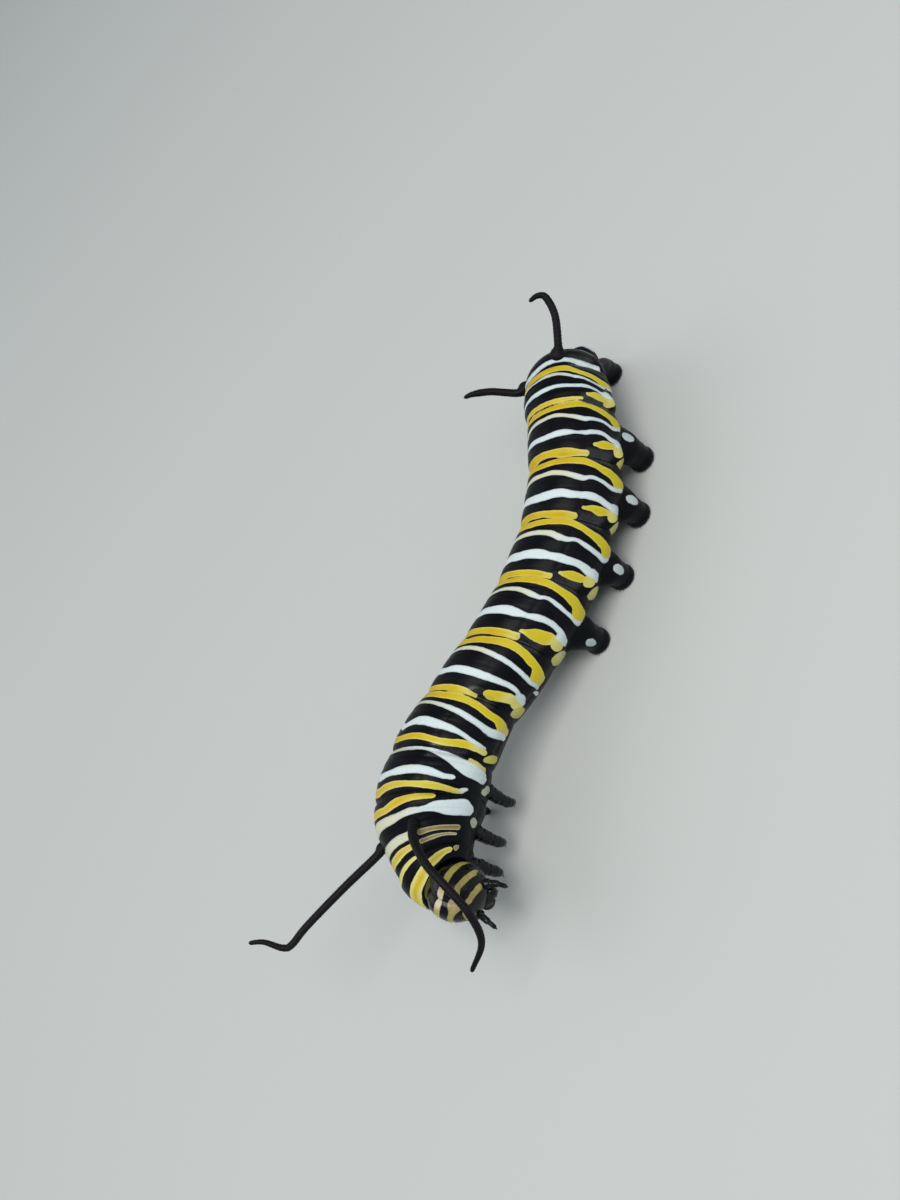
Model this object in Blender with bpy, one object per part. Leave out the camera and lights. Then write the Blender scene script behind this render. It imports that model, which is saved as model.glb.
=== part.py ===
"""A monarch larva, life size, at rest on the floor.

The body is a row of fleshy segments threaded on one curved centre line. The line runs
back from the neck; the head looks toward -Y, the animal's left is +X and its back is +Z.
Lengths are in millimetres and angles in degrees until a mesh is made, which is in metres.
"""
import math

import bmesh
import bpy
import numpy as np
from mathutils import Vector

MM = 0.001
GAP = 0.3

# Each segment: name, length, then at its rear fold the centre line's heading, the further turn
# of the fold's plane, the pitch, the roll and the half width
NECK = (74.0, 0.0, 0.0, -20.0, 1.70)
SEGMENTS = (
    ("prothorax", 1.4, 45.0, 0.0, 0.0, -19.0, 2.21),
    ("mesothorax", 3.35, 10.5, 10.0, -3.0, -26.0, 3.18),
    ("metathorax", 2.35, -2.5, 13.0, 3.5, -25.0, 2.97),
    ("abdomen_1", 3.3, -15.0, 22.0, 10.5, -20.0, 2.70),
    ("abdomen_2", 3.6, -14.0, 23.0, 12.0, -11.0, 2.75),
    ("abdomen_3", 3.9, -6.0, 16.5, 6.0, -8.0, 2.76),
    ("abdomen_4", 3.8, 0.0, 12.5, -2.5, -6.0, 2.72),
    ("abdomen_5", 3.6, 13.5, 2.5, -7.0, -5.0, 2.70),
    ("abdomen_6", 3.25, 27.0, -6.0, -6.5, -4.0, 2.60),
    ("abdomen_7", 2.3, 25.5, 0.5, 1.0, -14.0, 2.52),
    ("abdomen_8", 1.5, 35.0, 0.0, 22.0, -23.0, 1.95),
    ("abdomen_9_10", 2.6, 42.0, 0.0, 46.0, -26.0, 1.00),
)
# Where the fold behind abdomen_4 lies, with the whole model centred over the origin
ANCHOR_FOLD = 7
ANCHOR = (1.967, 6.979, 3.35)

BACK_HEIGHT = 0.97
BELLY_HEIGHT = 0.92
SEGMENT_SWELL = 0.03
CREASES = (0.20, 0.40, 0.62, 0.81)
CREASE_DEPTH = 0.018
BODY_SIDES = 28

HEAD_REACH = 0.9
HEAD_HALF = (1.75, 1.85, 1.55)
HEAD_SIDES = 28
HEAD_RINGS = 16
CLEFT_DEPTH = 0.05
CLEFT_WIDTH = 0.14

# Mouth parts: middle and half sizes, each to the left, up and forward of the head's middle
MOUTH_PARTS = (
    ("labrum", (0.0, -1.15, 1.10), (0.50, 0.36, 0.30)),
    ("mandible_left", (0.36, -1.42, 1.00), (0.36, 0.42, 0.36)),
    ("mandible_right", (-0.36, -1.42, 1.00), (0.36, 0.42, 0.36)),
    ("labium", (0.0, -1.62, 0.45), (0.50, 0.40, 0.45)),
)
MOUTH_SIDES = 14
MOUTH_RINGS = 8

ANTENNA_ROUTE = (
    (0.80, -0.80, 0.70),
    (1.10, -1.15, 1.25),
    (1.20, -1.30, 1.65),
    (1.25, -1.38, 2.05),
)
ANTENNA_RADII = (0.30, 0.14)

FRONT_FEELER = (0.375, 0.30, 0.16)
REAR_FEELER = (0.27, 0.25, 0.12)
FEELER_SIDES = 8
FEELER_ROOT = 0.6
FEELER_FLARE = 0.5
FEELER_FLARE_LENGTH = 0.35
FRONT_FEELER_ANGLE = 40.0
FRONT_FEELER_PLACE = 0.5
REAR_FEELER_ANGLE = 42.0
REAR_FEELER_PLACE = 0.3

# How far to each side of the centre line the feet stand, and where along their segment
PROLEG_STANCE = 2.15
PROLEG_PLACE = 0.55
PROLEG_SIZE = 1.12
ANAL_STANCE = 1.15
ANAL_PLACE = 0.42
ANAL_SIZE = 1.05
ANAL_LEAN = -0.3
PROLEG_SIDES = 16
# The top of a proleg draws in under the body, and its root ends inside it
PROLEG_DRAW_IN = 0.55
PROLEG_DRAW_FROM = 0.35
PROLEG_ROOT = 0.45

# Outline of a proleg: height as a share of the way up to the body, radius
PROLEG_OUTLINE = (
    (0.00, 0.40),
    (0.05, 0.56),
    (0.14, 0.62),
    (0.25, 0.55),
    (0.40, 0.66),
    (0.58, 0.82),
    (0.80, 0.92),
    (1.00, 0.92),
)

# Routes of the feelers from their roots, as steps to the left, back and up
FRONT_RIGHT_ROUTE = (
    (-0.2, -0.6, 0.1),
    (-1.4, -2.6, 0.5),
    (-2.7, -5.2, 1.1),
    (-3.2, -6.4, 1.3),
    (-3.5, -6.7, 1.6),
    (-4.2, -6.7, 2.4),
    (-4.8, -7.0, 2.9),
)
FRONT_LEFT_ROUTE = (
    (0.9, -0.6, 0.4),
    (1.8, -1.2, 0.6),
    (2.8, -1.8, 0.6),
    (3.8, -2.4, 0.1),
    (4.8, -3.3, -1.0),
    (5.0, -4.5, -2.3),
    (4.3, -6.1, -3.0),
)
REAR_LEFT_ROUTE = (
    (0.2, 0.5, 0.5),
    (0.05, 1.8, 1.2),
    (-0.4, 2.6, 1.85),
    (-0.75, 2.55, 2.2),
    (-1.05, 2.1, 2.4),
)
REAR_RIGHT_ROUTE = (
    (-0.3, -0.35, 0.25),
    (-0.9, -0.45, 0.55),
    (-1.65, -0.65, 1.15),
    (-2.3, -1.1, 1.8),
    (-2.7, -1.45, 2.05),
)

# Walking legs: steps forward, outward and down from the root to each joint, radius there
LEG_ROOT_ANGLE = 150.0
LEG_JOINTS = (
    (0.00, 0.00, 0.0, 0.42),
    (0.20, 0.15, 0.5, 0.40),
    (0.40, 0.30, 1.1, 0.33),
    (0.45, 0.35, 1.7, 0.28),
    (0.30, 0.25, 2.2, 0.20),
)
LEG_SIDES = 10
LEG_SINK = 0.5
HANGING_LEG_LENGTH = 1.15
STANDING_LEGS = ("leg_t2_right", "leg_t3_right")

BLACK = (0.018, 0.019, 0.024)
CHARCOAL = (0.035, 0.034, 0.045)
PALE_YELLOW = (0.52, 0.48, 0.20)


# Centre line

def direction_axes(heading, pitch, roll):
    """Forward, left and up, after a turn to the left, a rise and a lean to the left."""
    h, p, r = (math.radians(a) for a in (heading, pitch, roll))
    forward = np.array([math.sin(h) * math.cos(p), -math.cos(h) * math.cos(p), math.sin(p)])
    level = np.array([math.cos(h), math.sin(h), 0.0])
    upright = np.cross(forward, level)
    left = math.cos(r) * level - math.sin(r) * upright
    up = math.cos(r) * upright + math.sin(r) * level
    return forward, left, up


class Spine:
    """The curved centre line, measured back from the neck."""

    STEP = 0.02

    def __init__(self):
        table = np.array([NECK] + [row[2:] for row in SEGMENTS])
        self.headings = table[:, 0]
        self.folds = np.column_stack([table[:, 0] + table[:, 1], table[:, 2:]])
        self.stations = np.concatenate([[0.0], np.cumsum([row[1] for row in SEGMENTS])])
        self.places = np.arange(0.0, self.stations[-1] + self.STEP, self.STEP)
        steps = [-self.STEP * self.course(s + self.STEP / 2) for s in self.places[:-1]]
        line = np.concatenate([[np.zeros(3)], np.cumsum(steps, axis=0)])
        anchor = self.read(line, self.stations[ANCHOR_FOLD])
        self.line = line - anchor + np.array(ANCHOR)

    def course(self, s):
        """The way the centre line runs toward the head."""
        heading = np.interp(s, self.stations, self.headings)
        pitch = np.interp(s, self.stations, self.folds[:, 1])
        return direction_axes(heading, pitch, 0.0)[0]

    def read(self, line, s):
        return np.array([np.interp(s, self.places, line[:, k]) for k in range(3)])

    def centre(self, s):
        return self.read(self.line, s)

    def axes(self, s):
        """Forward, left and up of the body's rings."""
        return direction_axes(*(np.interp(s, self.stations, self.folds[:, k]) for k in range(3)))

    def segment_at(self, s):
        i = int(np.searchsorted(self.stations, s, side="right")) - 1
        i = min(max(i, 0), len(SEGMENTS) - 1)
        share = (s - self.stations[i]) / SEGMENTS[i][1]
        return i, min(max(share, 0.0), 1.0)

    def half_width(self, s):
        i, share = self.segment_at(s)
        if i == len(SEGMENTS) - 1:
            return self.folds[i][3] * math.sqrt(max(1.0 - share ** 3.2, 0.01))
        ease = share * share * (3.0 - 2.0 * share)
        width = self.folds[i][3] * (1.0 - ease) + self.folds[i + 1][3] * ease
        return width * (1.0 + SEGMENT_SWELL * math.sin(math.pi * share) ** 0.8)

    def place(self, name, share=0.5):
        """Distance from the neck to a point along a segment."""
        i = [row[0] for row in SEGMENTS].index(name)
        return self.stations[i] + share * SEGMENTS[i][1]


SPINE = Spine()


def around(angle, width, extra=0.0):
    """Steps left and up to the skin at an angle from the back, positive to the left."""
    a = math.radians(angle)
    height = BACK_HEIGHT if math.cos(a) > 0 else BELLY_HEIGHT
    return (width + extra) * math.sin(a), (width * height + extra) * math.cos(a)


def skin_point(s, angle, extra=0.0):
    forward, left, up = SPINE.axes(s)
    across, rise = around(angle, SPINE.half_width(s), extra)
    return SPINE.centre(s) + across * left + rise * up


def body_ring(centre, left, up, width, extra=0.0):
    points = []
    for k in range(BODY_SIDES):
        across, rise = around(360.0 * k / BODY_SIDES, width, extra)
        points.append(centre + across * left + rise * up)
    return points


# Meshes

def new_object(name, bm):
    bmesh.ops.recalc_face_normals(bm, faces=bm.faces)
    bmesh.ops.triangulate(bm, faces=[f for f in bm.faces if len(f.verts) > 3])
    mesh = bpy.data.meshes.new(name)
    bm.to_mesh(mesh)
    bm.free()
    obj = bpy.data.objects.new(name, mesh)
    bpy.context.scene.collection.objects.link(obj)
    return obj


def loft(name, rings):
    """A closed solid through rings of equally many points, given in millimetres."""
    bm = bmesh.new()
    loops = [[bm.verts.new(Vector(p) * MM) for p in ring] for ring in rings]
    count = len(loops[0])
    for lower, upper in zip(loops, loops[1:]):
        for k in range(count):
            n = (k + 1) % count
            bm.faces.new((lower[k], lower[n], upper[n], upper[k]))
    for cap in (loops[0], loops[-1]):
        bmesh.ops.contextual_create(bm, geom=cap)
    return new_object(name, bm)


def apply_modifiers(obj):
    bpy.context.view_layer.update()
    graph = bpy.context.evaluated_depsgraph_get()
    mesh = bpy.data.meshes.new_from_object(obj.evaluated_get(graph))
    obj.modifiers.clear()
    old = obj.data
    obj.data = mesh
    bpy.data.meshes.remove(old)


def boolean(obj, other, operation):
    modifier = obj.modifiers.new(operation.lower(), "BOOLEAN")
    modifier.operation = operation
    modifier.object = other
    modifier.solver = "EXACT"
    apply_modifiers(obj)


def islands_of(bm):
    """The mesh's separate surfaces, each as a set of faces."""
    left = set(bm.faces)
    while left:
        found = {left.pop()}
        edge = list(found)
        while edge:
            face = edge.pop()
            near = {f for e in face.edges for f in e.link_faces if f in left}
            left -= near
            found |= near
            edge.extend(near)
        yield found


def keep_largest(obj):
    bm = bmesh.new()
    bm.from_mesh(obj.data)
    islands = sorted(islands_of(bm), key=lambda faces: sum(f.calc_area() for f in faces))
    spare = {v for faces in islands[:-1] for f in faces for v in f.verts}
    bmesh.ops.delete(bm, geom=list(spare), context="VERTS")
    bm.to_mesh(obj.data)
    bm.free()


def remove_objects(objects):
    for obj in objects:
        bpy.data.objects.remove(obj)


def finish(obj, colour, roughness):
    material = bpy.data.materials.new(obj.name)
    material.use_nodes = True
    shader = material.node_tree.nodes["Principled BSDF"]
    shader.inputs["Base Color"].default_value = (*colour, 1.0)
    shader.inputs["Roughness"].default_value = roughness
    shader.inputs["Metallic"].default_value = 0.0
    obj.data.materials.clear()
    obj.data.materials.append(material)
    obj.data.shade_smooth()
    obj.data.set_sharp_from_angle(angle=math.radians(40))


# Body segments

def crease(share):
    """How much the skin dips at the small creases across a segment."""
    return sum(CREASE_DEPTH * math.exp(-(((share - at) / 0.03) ** 2)) for at in CREASES)


def segment_shares():
    """Where a segment's rings lie, as shares of its length: its ends, creases and swells."""
    edges = (0.0,) + CREASES + (1.0,)
    middles = [(a + b) / 2 for a, b in zip(edges, edges[1:])]
    return sorted(set(edges) | set(middles) | {0.05, 0.95})


def segment_rings(i):
    """Rings from the front fold to the rear one, whose end planes lie in the folds' planes."""
    front, rear = SPINE.stations[i], SPINE.stations[i + 1]
    last = i == len(SEGMENTS) - 1
    end = rear if last else rear - GAP / 2
    rings = []
    for share in segment_shares():
        s = front + GAP / 2 + share * (end - front - GAP / 2)
        angles = SPINE.folds[i][:3] * (1.0 - share) + SPINE.folds[i + 1][:3] * share
        forward, left, up = direction_axes(*angles)
        width = SPINE.half_width(s) * (1.0 - crease(share))
        rings.append(body_ring(SPINE.centre(s), left, up, width))
    return rings


def make_segments():
    for i, row in enumerate(SEGMENTS):
        obj = loft(row[0], segment_rings(i))
        finish(obj, PALE_YELLOW, 0.45)


def make_sleeve():
    """The whole body swollen by the gap, which trims what grows from it."""
    places = np.arange(-0.2, SPINE.stations[-1] + 0.2, 0.4)
    rings = []
    for s in places:
        forward, left, up = SPINE.axes(s)
        near = min(max(s, 0.0), SPINE.stations[-1])
        centre = SPINE.centre(near) - (s - near) * SPINE.course(near)
        rings.append(body_ring(centre, left, up, SPINE.half_width(near), GAP))
    sleeve = loft("sleeve", rings)
    sleeve.hide_render = True
    sleeve.display_type = "WIRE"
    return sleeve


# Head

def head_frame():
    forward, left, up = SPINE.axes(0.0)
    return SPINE.centre(0.0) + HEAD_REACH * forward, forward, left, up


def head_point(left_step, up_step, forward_step):
    centre, forward, left, up = head_frame()
    return centre + left_step * left + up_step * up + forward_step * forward


def ball(name, middle, half, sides, rings, extra=0.0):
    """An egg shape in the head's frame, with half sizes to the left, up and forward."""
    loops = []
    for j in range(rings + 1):
        polar = math.pi * (0.03 + 0.94 * j / rings)
        loop = []
        for k in range(sides):
            turn = 2.0 * math.pi * k / sides
            x = math.sin(polar) * math.cos(turn)
            z = math.sin(polar) * math.sin(turn)
            cleft = 1.0 - CLEFT_DEPTH * math.exp(-((x / CLEFT_WIDTH) ** 2)) * max(z, 0.0)
            loop.append(
                head_point(
                    middle[0] + (half[0] + extra) * x * cleft,
                    middle[1] + (half[1] + extra) * z * cleft,
                    middle[2] + (half[2] + extra) * math.cos(polar) * cleft,
                )
            )
        loops.append(loop)
    return loft(name, loops)


def cut_behind_neck(obj):
    """Takes away what lies behind the plane that stands off the prothorax by the gap."""
    forward = SPINE.axes(0.0)[0]
    plane = SPINE.centre(0.0) + GAP / 2 * forward
    bm = bmesh.new()
    bm.from_mesh(obj.data)
    geometry = list(bm.verts) + list(bm.edges) + list(bm.faces)
    cut = bmesh.ops.bisect_plane(
        bm, geom=geometry, plane_co=Vector(plane) * MM, plane_no=Vector(forward), clear_inner=True
    )
    edges = [e for e in cut["geom_cut"] if isinstance(e, bmesh.types.BMEdge)]
    bmesh.ops.contextual_create(bm, geom=edges)
    bmesh.ops.recalc_face_normals(bm, faces=bm.faces)
    bmesh.ops.triangulate(bm, faces=[f for f in bm.faces if len(f.verts) > 3])
    bm.to_mesh(obj.data)
    bm.free()


def make_head():
    head = ball("head", (0.0, 0.0, 0.0), HEAD_HALF, HEAD_SIDES, HEAD_RINGS)
    mouth = [ball(*part, MOUTH_SIDES, MOUTH_RINGS) for part in MOUTH_PARTS]
    for piece in mouth:
        boolean(head, piece, "UNION")
    remove_objects(mouth)
    cut_behind_neck(head)
    keep_largest(head)
    finish(head, BLACK, 0.25)


def head_sleeve():
    sleeve = ball("head_sleeve", (0.0, 0.0, 0.0), HEAD_HALF, HEAD_SIDES, HEAD_RINGS, GAP)
    sleeve.hide_render = True
    sleeve.display_type = "WIRE"
    return sleeve


# Tapered tubes

def smooth_route(knots, steps=4):
    """Points of a smooth curve through the knots."""
    knots = [np.array(k, float) for k in knots]
    padded = [2 * knots[0] - knots[1]] + knots + [2 * knots[-1] - knots[-2]]
    route = []
    for a, b, c, d in zip(padded, padded[1:], padded[2:], padded[3:]):
        for k in range(steps):
            t = k / steps
            bend = (2 * a - 5 * b + 4 * c - d) * t * t + (3 * b - a - 3 * c + d) * t ** 3
            route.append(0.5 * (2 * b + (c - a) * t + bend))
    return route + [knots[-1]]


def tube_rings(route, radii, sides):
    """Rings square to the route, carried along it without twist."""
    rings = []
    side = None
    for i, point in enumerate(route):
        ahead = route[min(i + 1, len(route) - 1)] - route[max(i - 1, 0)]
        ahead = ahead / np.linalg.norm(ahead)
        if side is None:
            side = np.cross(ahead, [0.31, 0.52, 0.79])
        side = side - ahead * (side @ ahead)
        side = side / np.linalg.norm(side)
        other = np.cross(ahead, side)
        turns = [2.0 * math.pi * k / sides for k in range(sides)]
        rings.append([point + radii[i] * (math.cos(t) * side + math.sin(t) * other) for t in turns])
    return rings


def make_feeler(name, s, angle, steps, thickness, sleeve):
    """A fleshy filament: root, middle and tip radii in thickness, flared at the root."""
    root = skin_point(s, angle)
    forward, left, up = SPINE.axes(s)
    across, rise = around(angle, 1.0)
    outward = across * left + rise * up
    knots = [root - FEELER_ROOT * outward, root] + [root + np.array(step) for step in steps]
    route = smooth_route(knots)
    lengths = np.cumsum([0.0] + [np.linalg.norm(b - a) for a, b in zip(route, route[1:])])
    beyond = lengths - FEELER_ROOT
    radii = np.interp(beyond / beyond[-1], [0.0, 0.75, 1.0], thickness)
    radii = radii * (1.0 + FEELER_FLARE * np.exp(-((beyond / FEELER_FLARE_LENGTH) ** 2)))
    obj = loft(name, tube_rings(route, radii, FEELER_SIDES))
    boolean(obj, sleeve, "DIFFERENCE")
    keep_largest(obj)
    finish(obj, CHARCOAL, 0.7)


def make_feelers(sleeve):
    front_place = SPINE.place("mesothorax", FRONT_FEELER_PLACE)
    rear_place = SPINE.place("abdomen_8", REAR_FEELER_PLACE)
    front = (front_place, FRONT_FEELER_ANGLE, FRONT_FEELER)
    rear = (rear_place, REAR_FEELER_ANGLE, REAR_FEELER)
    routes = (
        ("filament_front_left", 1, FRONT_LEFT_ROUTE, front),
        ("filament_front_right", -1, FRONT_RIGHT_ROUTE, front),
        ("filament_rear_left", 1, REAR_LEFT_ROUTE, rear),
        ("filament_rear_right", -1, REAR_RIGHT_ROUTE, rear),
    )
    for name, side, route, (place, angle, thickness) in routes:
        make_feeler(name, place, side * angle, route, thickness, sleeve)


def make_antennae(sleeve):
    for name, side in (("antenna_left", 1), ("antenna_right", -1)):
        knots = [head_point(side * out, rise, ahead) for out, rise, ahead in ANTENNA_ROUTE]
        route = smooth_route(knots, 2)
        radii = np.linspace(*ANTENNA_RADII, len(route))
        obj = loft(name, tube_rings(route, radii, FEELER_SIDES))
        boolean(obj, sleeve, "DIFFERENCE")
        keep_largest(obj)
        finish(obj, CHARCOAL, 0.4)


# Legs

def level_axes(s):
    """Forward and left along the floor under a place on the body."""
    forward = SPINE.axes(s)[0]
    forward = np.array([forward[0], forward[1], 0.0])
    forward = forward / np.linalg.norm(forward)
    return forward, np.array([-forward[1], forward[0], 0.0])


def flat_ring(middle, forward, left, radius, sides):
    turns = [2.0 * math.pi * k / sides for k in range(sides)]
    return [middle + radius * (math.cos(t) * forward + math.sin(t) * left) for t in turns]


def make_proleg(name, s, side, stance, size, lean, sleeve):
    """A stout fleshy leg that stands on a small flat at the floor."""
    forward, left = level_axes(s)
    left = left * side
    centre = SPINE.centre(s)
    top = centre[2] - PROLEG_ROOT * SPINE.half_width(s)
    rings = []
    for share, radius in PROLEG_OUTLINE:
        inward = PROLEG_DRAW_IN * max(share - PROLEG_DRAW_FROM, 0.0)
        middle = centre + (stance - inward) * left + lean * (1.0 - share) * forward
        middle[2] = top * share
        rings.append(flat_ring(middle, forward, left, size * radius, PROLEG_SIDES))
    obj = loft(name, rings)
    boolean(obj, sleeve, "DIFFERENCE")
    keep_largest(obj)
    finish(obj, BLACK, 0.4)


def make_prolegs(sleeve):
    for label, side in (("left", 1), ("right", -1)):
        for n in (3, 4, 5, 6):
            s = SPINE.place(f"abdomen_{n}", PROLEG_PLACE)
            make_proleg(f"proleg_a{n}_{label}", s, side, PROLEG_STANCE, PROLEG_SIZE, 0.0, sleeve)
        s = SPINE.place("abdomen_9_10", ANAL_PLACE)
        name = f"proleg_anal_{label}"
        make_proleg(name, s, side, ANAL_STANCE, ANAL_SIZE, ANAL_LEAN, sleeve)


def make_leg(name, s, side, sleeve):
    """A short jointed walking leg; a standing one ends in a flat on the floor."""
    forward, left = level_axes(s)
    outward = left * side
    root = skin_point(s, side * LEG_ROOT_ANGLE, -LEG_SINK)
    reach = LEG_JOINTS[-1][2]
    drop = root[2] / reach if name in STANDING_LEGS else HANGING_LEG_LENGTH
    knots, radii = [], []
    for ahead, out, down, radius in LEG_JOINTS:
        knots.append(root + ahead * forward + out * outward - np.array([0.0, 0.0, down * drop]))
        radii.append(radius)
    rings = tube_rings(knots, radii, LEG_SIDES)
    if name in STANDING_LEGS:
        rings[-1] = flat_ring(knots[-1], forward, outward, radii[-1], LEG_SIDES)
    obj = loft(name, align_rings(rings))
    boolean(obj, sleeve, "DIFFERENCE")
    keep_largest(obj)
    finish(obj, BLACK, 0.2)


def align_rings(rings):
    """Turns the last ring's points so that they match the ring before it."""
    before, last = rings[-2], rings[-1]
    middle = np.mean(before, axis=0) - np.mean(last, axis=0)
    count = len(last)
    choices = [last[k:] + last[:k] for k in range(count)]
    choices += [choice[::-1] for choice in choices]
    best = min(
        choices,
        key=lambda ring: sum(np.linalg.norm(p + middle - q) for p, q in zip(ring, before)),
    )
    return rings[:-1] + [best]


def make_legs(sleeve):
    for n, segment in ((1, "prothorax"), (2, "mesothorax"), (3, "metathorax")):
        for label, side in (("left", 1), ("right", -1)):
            make_leg(f"leg_t{n}_{label}", SPINE.place(segment), side, sleeve)


def main():
    remove_objects(list(bpy.data.objects))
    make_segments()
    make_head()
    sleeve = make_sleeve()
    make_feelers(sleeve)
    make_prolegs(sleeve)
    make_legs(sleeve)
    around_head = head_sleeve()
    make_antennae(around_head)
    remove_objects([sleeve, around_head])


main()
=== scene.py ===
"""A monarch larva, life size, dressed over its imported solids.

Lengths are in millimetres and angles in degrees until a mesh is made, which is in metres.
The head looks toward -Y, the animal's left is +X and its back is +Z. Angles round the body
run from 0 along the back to 180 along the belly, positive to the left.
"""
import logging
import math
from dataclasses import dataclass
from enum import Enum
from typing import Callable, ClassVar, Sequence

import bpy
import numpy as np
from mathutils import Matrix, Vector


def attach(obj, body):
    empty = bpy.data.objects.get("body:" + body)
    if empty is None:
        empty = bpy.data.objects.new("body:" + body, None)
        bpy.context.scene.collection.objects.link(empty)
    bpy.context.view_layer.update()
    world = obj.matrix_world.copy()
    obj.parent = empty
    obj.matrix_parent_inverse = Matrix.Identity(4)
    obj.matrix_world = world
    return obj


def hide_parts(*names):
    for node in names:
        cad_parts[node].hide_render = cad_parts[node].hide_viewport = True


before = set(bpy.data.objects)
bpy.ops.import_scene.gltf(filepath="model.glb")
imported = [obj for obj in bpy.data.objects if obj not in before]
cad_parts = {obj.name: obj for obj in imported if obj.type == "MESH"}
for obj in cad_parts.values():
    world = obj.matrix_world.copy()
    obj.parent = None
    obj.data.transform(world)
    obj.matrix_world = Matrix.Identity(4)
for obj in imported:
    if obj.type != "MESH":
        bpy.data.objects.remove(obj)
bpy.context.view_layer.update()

MM = 0.001
ROOT = "root"
LOG = logging.getLogger("larva")

Array = np.ndarray
Piece = bpy.types.Object
Material = bpy.types.Material
Socket = bpy.types.NodeSocket
Triple = tuple[float, float, float]
Knots = tuple[tuple[float, ...], ...]


# Body line

@dataclass(frozen=True)
class Segment:
    """One body segment, with the place and lean of the fold behind it."""

    name: str
    length: float
    heading: float
    turn: float
    pitch: float
    roll: float
    half_width: float


NECK_FOLD = Segment("neck", 0.0, 74.0, 0.0, 0.0, -20.0, 1.70)
SEGMENTS = (
    Segment("prothorax", 1.4, 45.0, 0.0, 0.0, -19.0, 2.21),
    Segment("mesothorax", 3.35, 10.5, 10.0, -3.0, -26.0, 3.18),
    Segment("metathorax", 2.35, -2.5, 13.0, 3.5, -25.0, 2.97),
    Segment("abdomen_1", 3.3, -15.0, 22.0, 10.5, -20.0, 2.70),
    Segment("abdomen_2", 3.6, -14.0, 23.0, 12.0, -11.0, 2.75),
    Segment("abdomen_3", 3.9, -6.0, 16.5, 6.0, -8.0, 2.76),
    Segment("abdomen_4", 3.8, 0.0, 12.5, -2.5, -6.0, 2.72),
    Segment("abdomen_5", 3.6, 13.5, 2.5, -7.0, -5.0, 2.70),
    Segment("abdomen_6", 3.25, 27.0, -6.0, -6.5, -4.0, 2.60),
    Segment("abdomen_7", 2.3, 25.5, 0.5, 1.0, -14.0, 2.52),
    Segment("abdomen_8", 1.5, 35.0, 0.0, 22.0, -23.0, 1.95),
    Segment("abdomen_9_10", 2.6, 42.0, 0.0, 46.0, -26.0, 1.00),
)


def unit(vectors: Array) -> Array:
    """Vectors of length one."""
    return vectors / np.linalg.norm(vectors, axis=-1, keepdims=True)


def smooth(value: Array | float, low: float, high: float) -> Array:
    """Rises softly from 0 at low to 1 at high."""
    t = np.clip((np.asarray(value, float) - low) / (high - low), 0.0, 1.0)
    return t * t * (3.0 - 2.0 * t)


def bump(value: Array | float, middle: float, half: float) -> Array:
    """A soft hill, 1 at the middle."""
    return np.exp(-(((np.asarray(value, float) - middle) / half) ** 2))


def through(value: Array, knots: Sequence[tuple[float, float]]) -> Array:
    """Reads a smooth curve through knots.

    Args:
        value: Where to read it.
        knots: Places and heights, in rising order of place.

    Returns:
        The curve's height at each value.
    """
    xs = np.array([k[0] for k in knots], float)
    ys = np.array([k[1] for k in knots], float)
    slopes = np.gradient(ys, xs)
    value = np.clip(value, xs[0], xs[-1])
    i = np.clip(np.searchsorted(xs, value, side="right") - 1, 0, len(xs) - 2)
    width = xs[i + 1] - xs[i]
    t = (value - xs[i]) / width
    rise = ys[i + 1] - ys[i]
    start, stop = slopes[i] * width, slopes[i + 1] * width
    bend = (3.0 * rise - 2.0 * start - stop) * t ** 2 + (start + stop - 2.0 * rise) * t ** 3
    return ys[i] + start * t + bend


def direction_axes(heading: Array, pitch: Array, roll: Array) -> list[Array]:
    """Turns angles into directions.

    Args:
        heading: Turns to the left.
        pitch: Rises.
        roll: Leans to the left.

    Returns:
        Forward, left and up.
    """
    h, p, r = (np.radians(np.asarray(a, float)) for a in (heading, pitch, roll))
    flat = np.zeros_like(h)
    forward = np.stack([np.sin(h) * np.cos(p), -np.cos(h) * np.cos(p), np.sin(p)], -1)
    level = np.stack([np.cos(h), np.sin(h), flat], -1)
    upright = np.cross(forward, level)
    cos_roll, sin_roll = np.cos(r)[..., None], np.sin(r)[..., None]
    return [forward, cos_roll * level - sin_roll * upright, cos_roll * upright + sin_roll * level]


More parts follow.
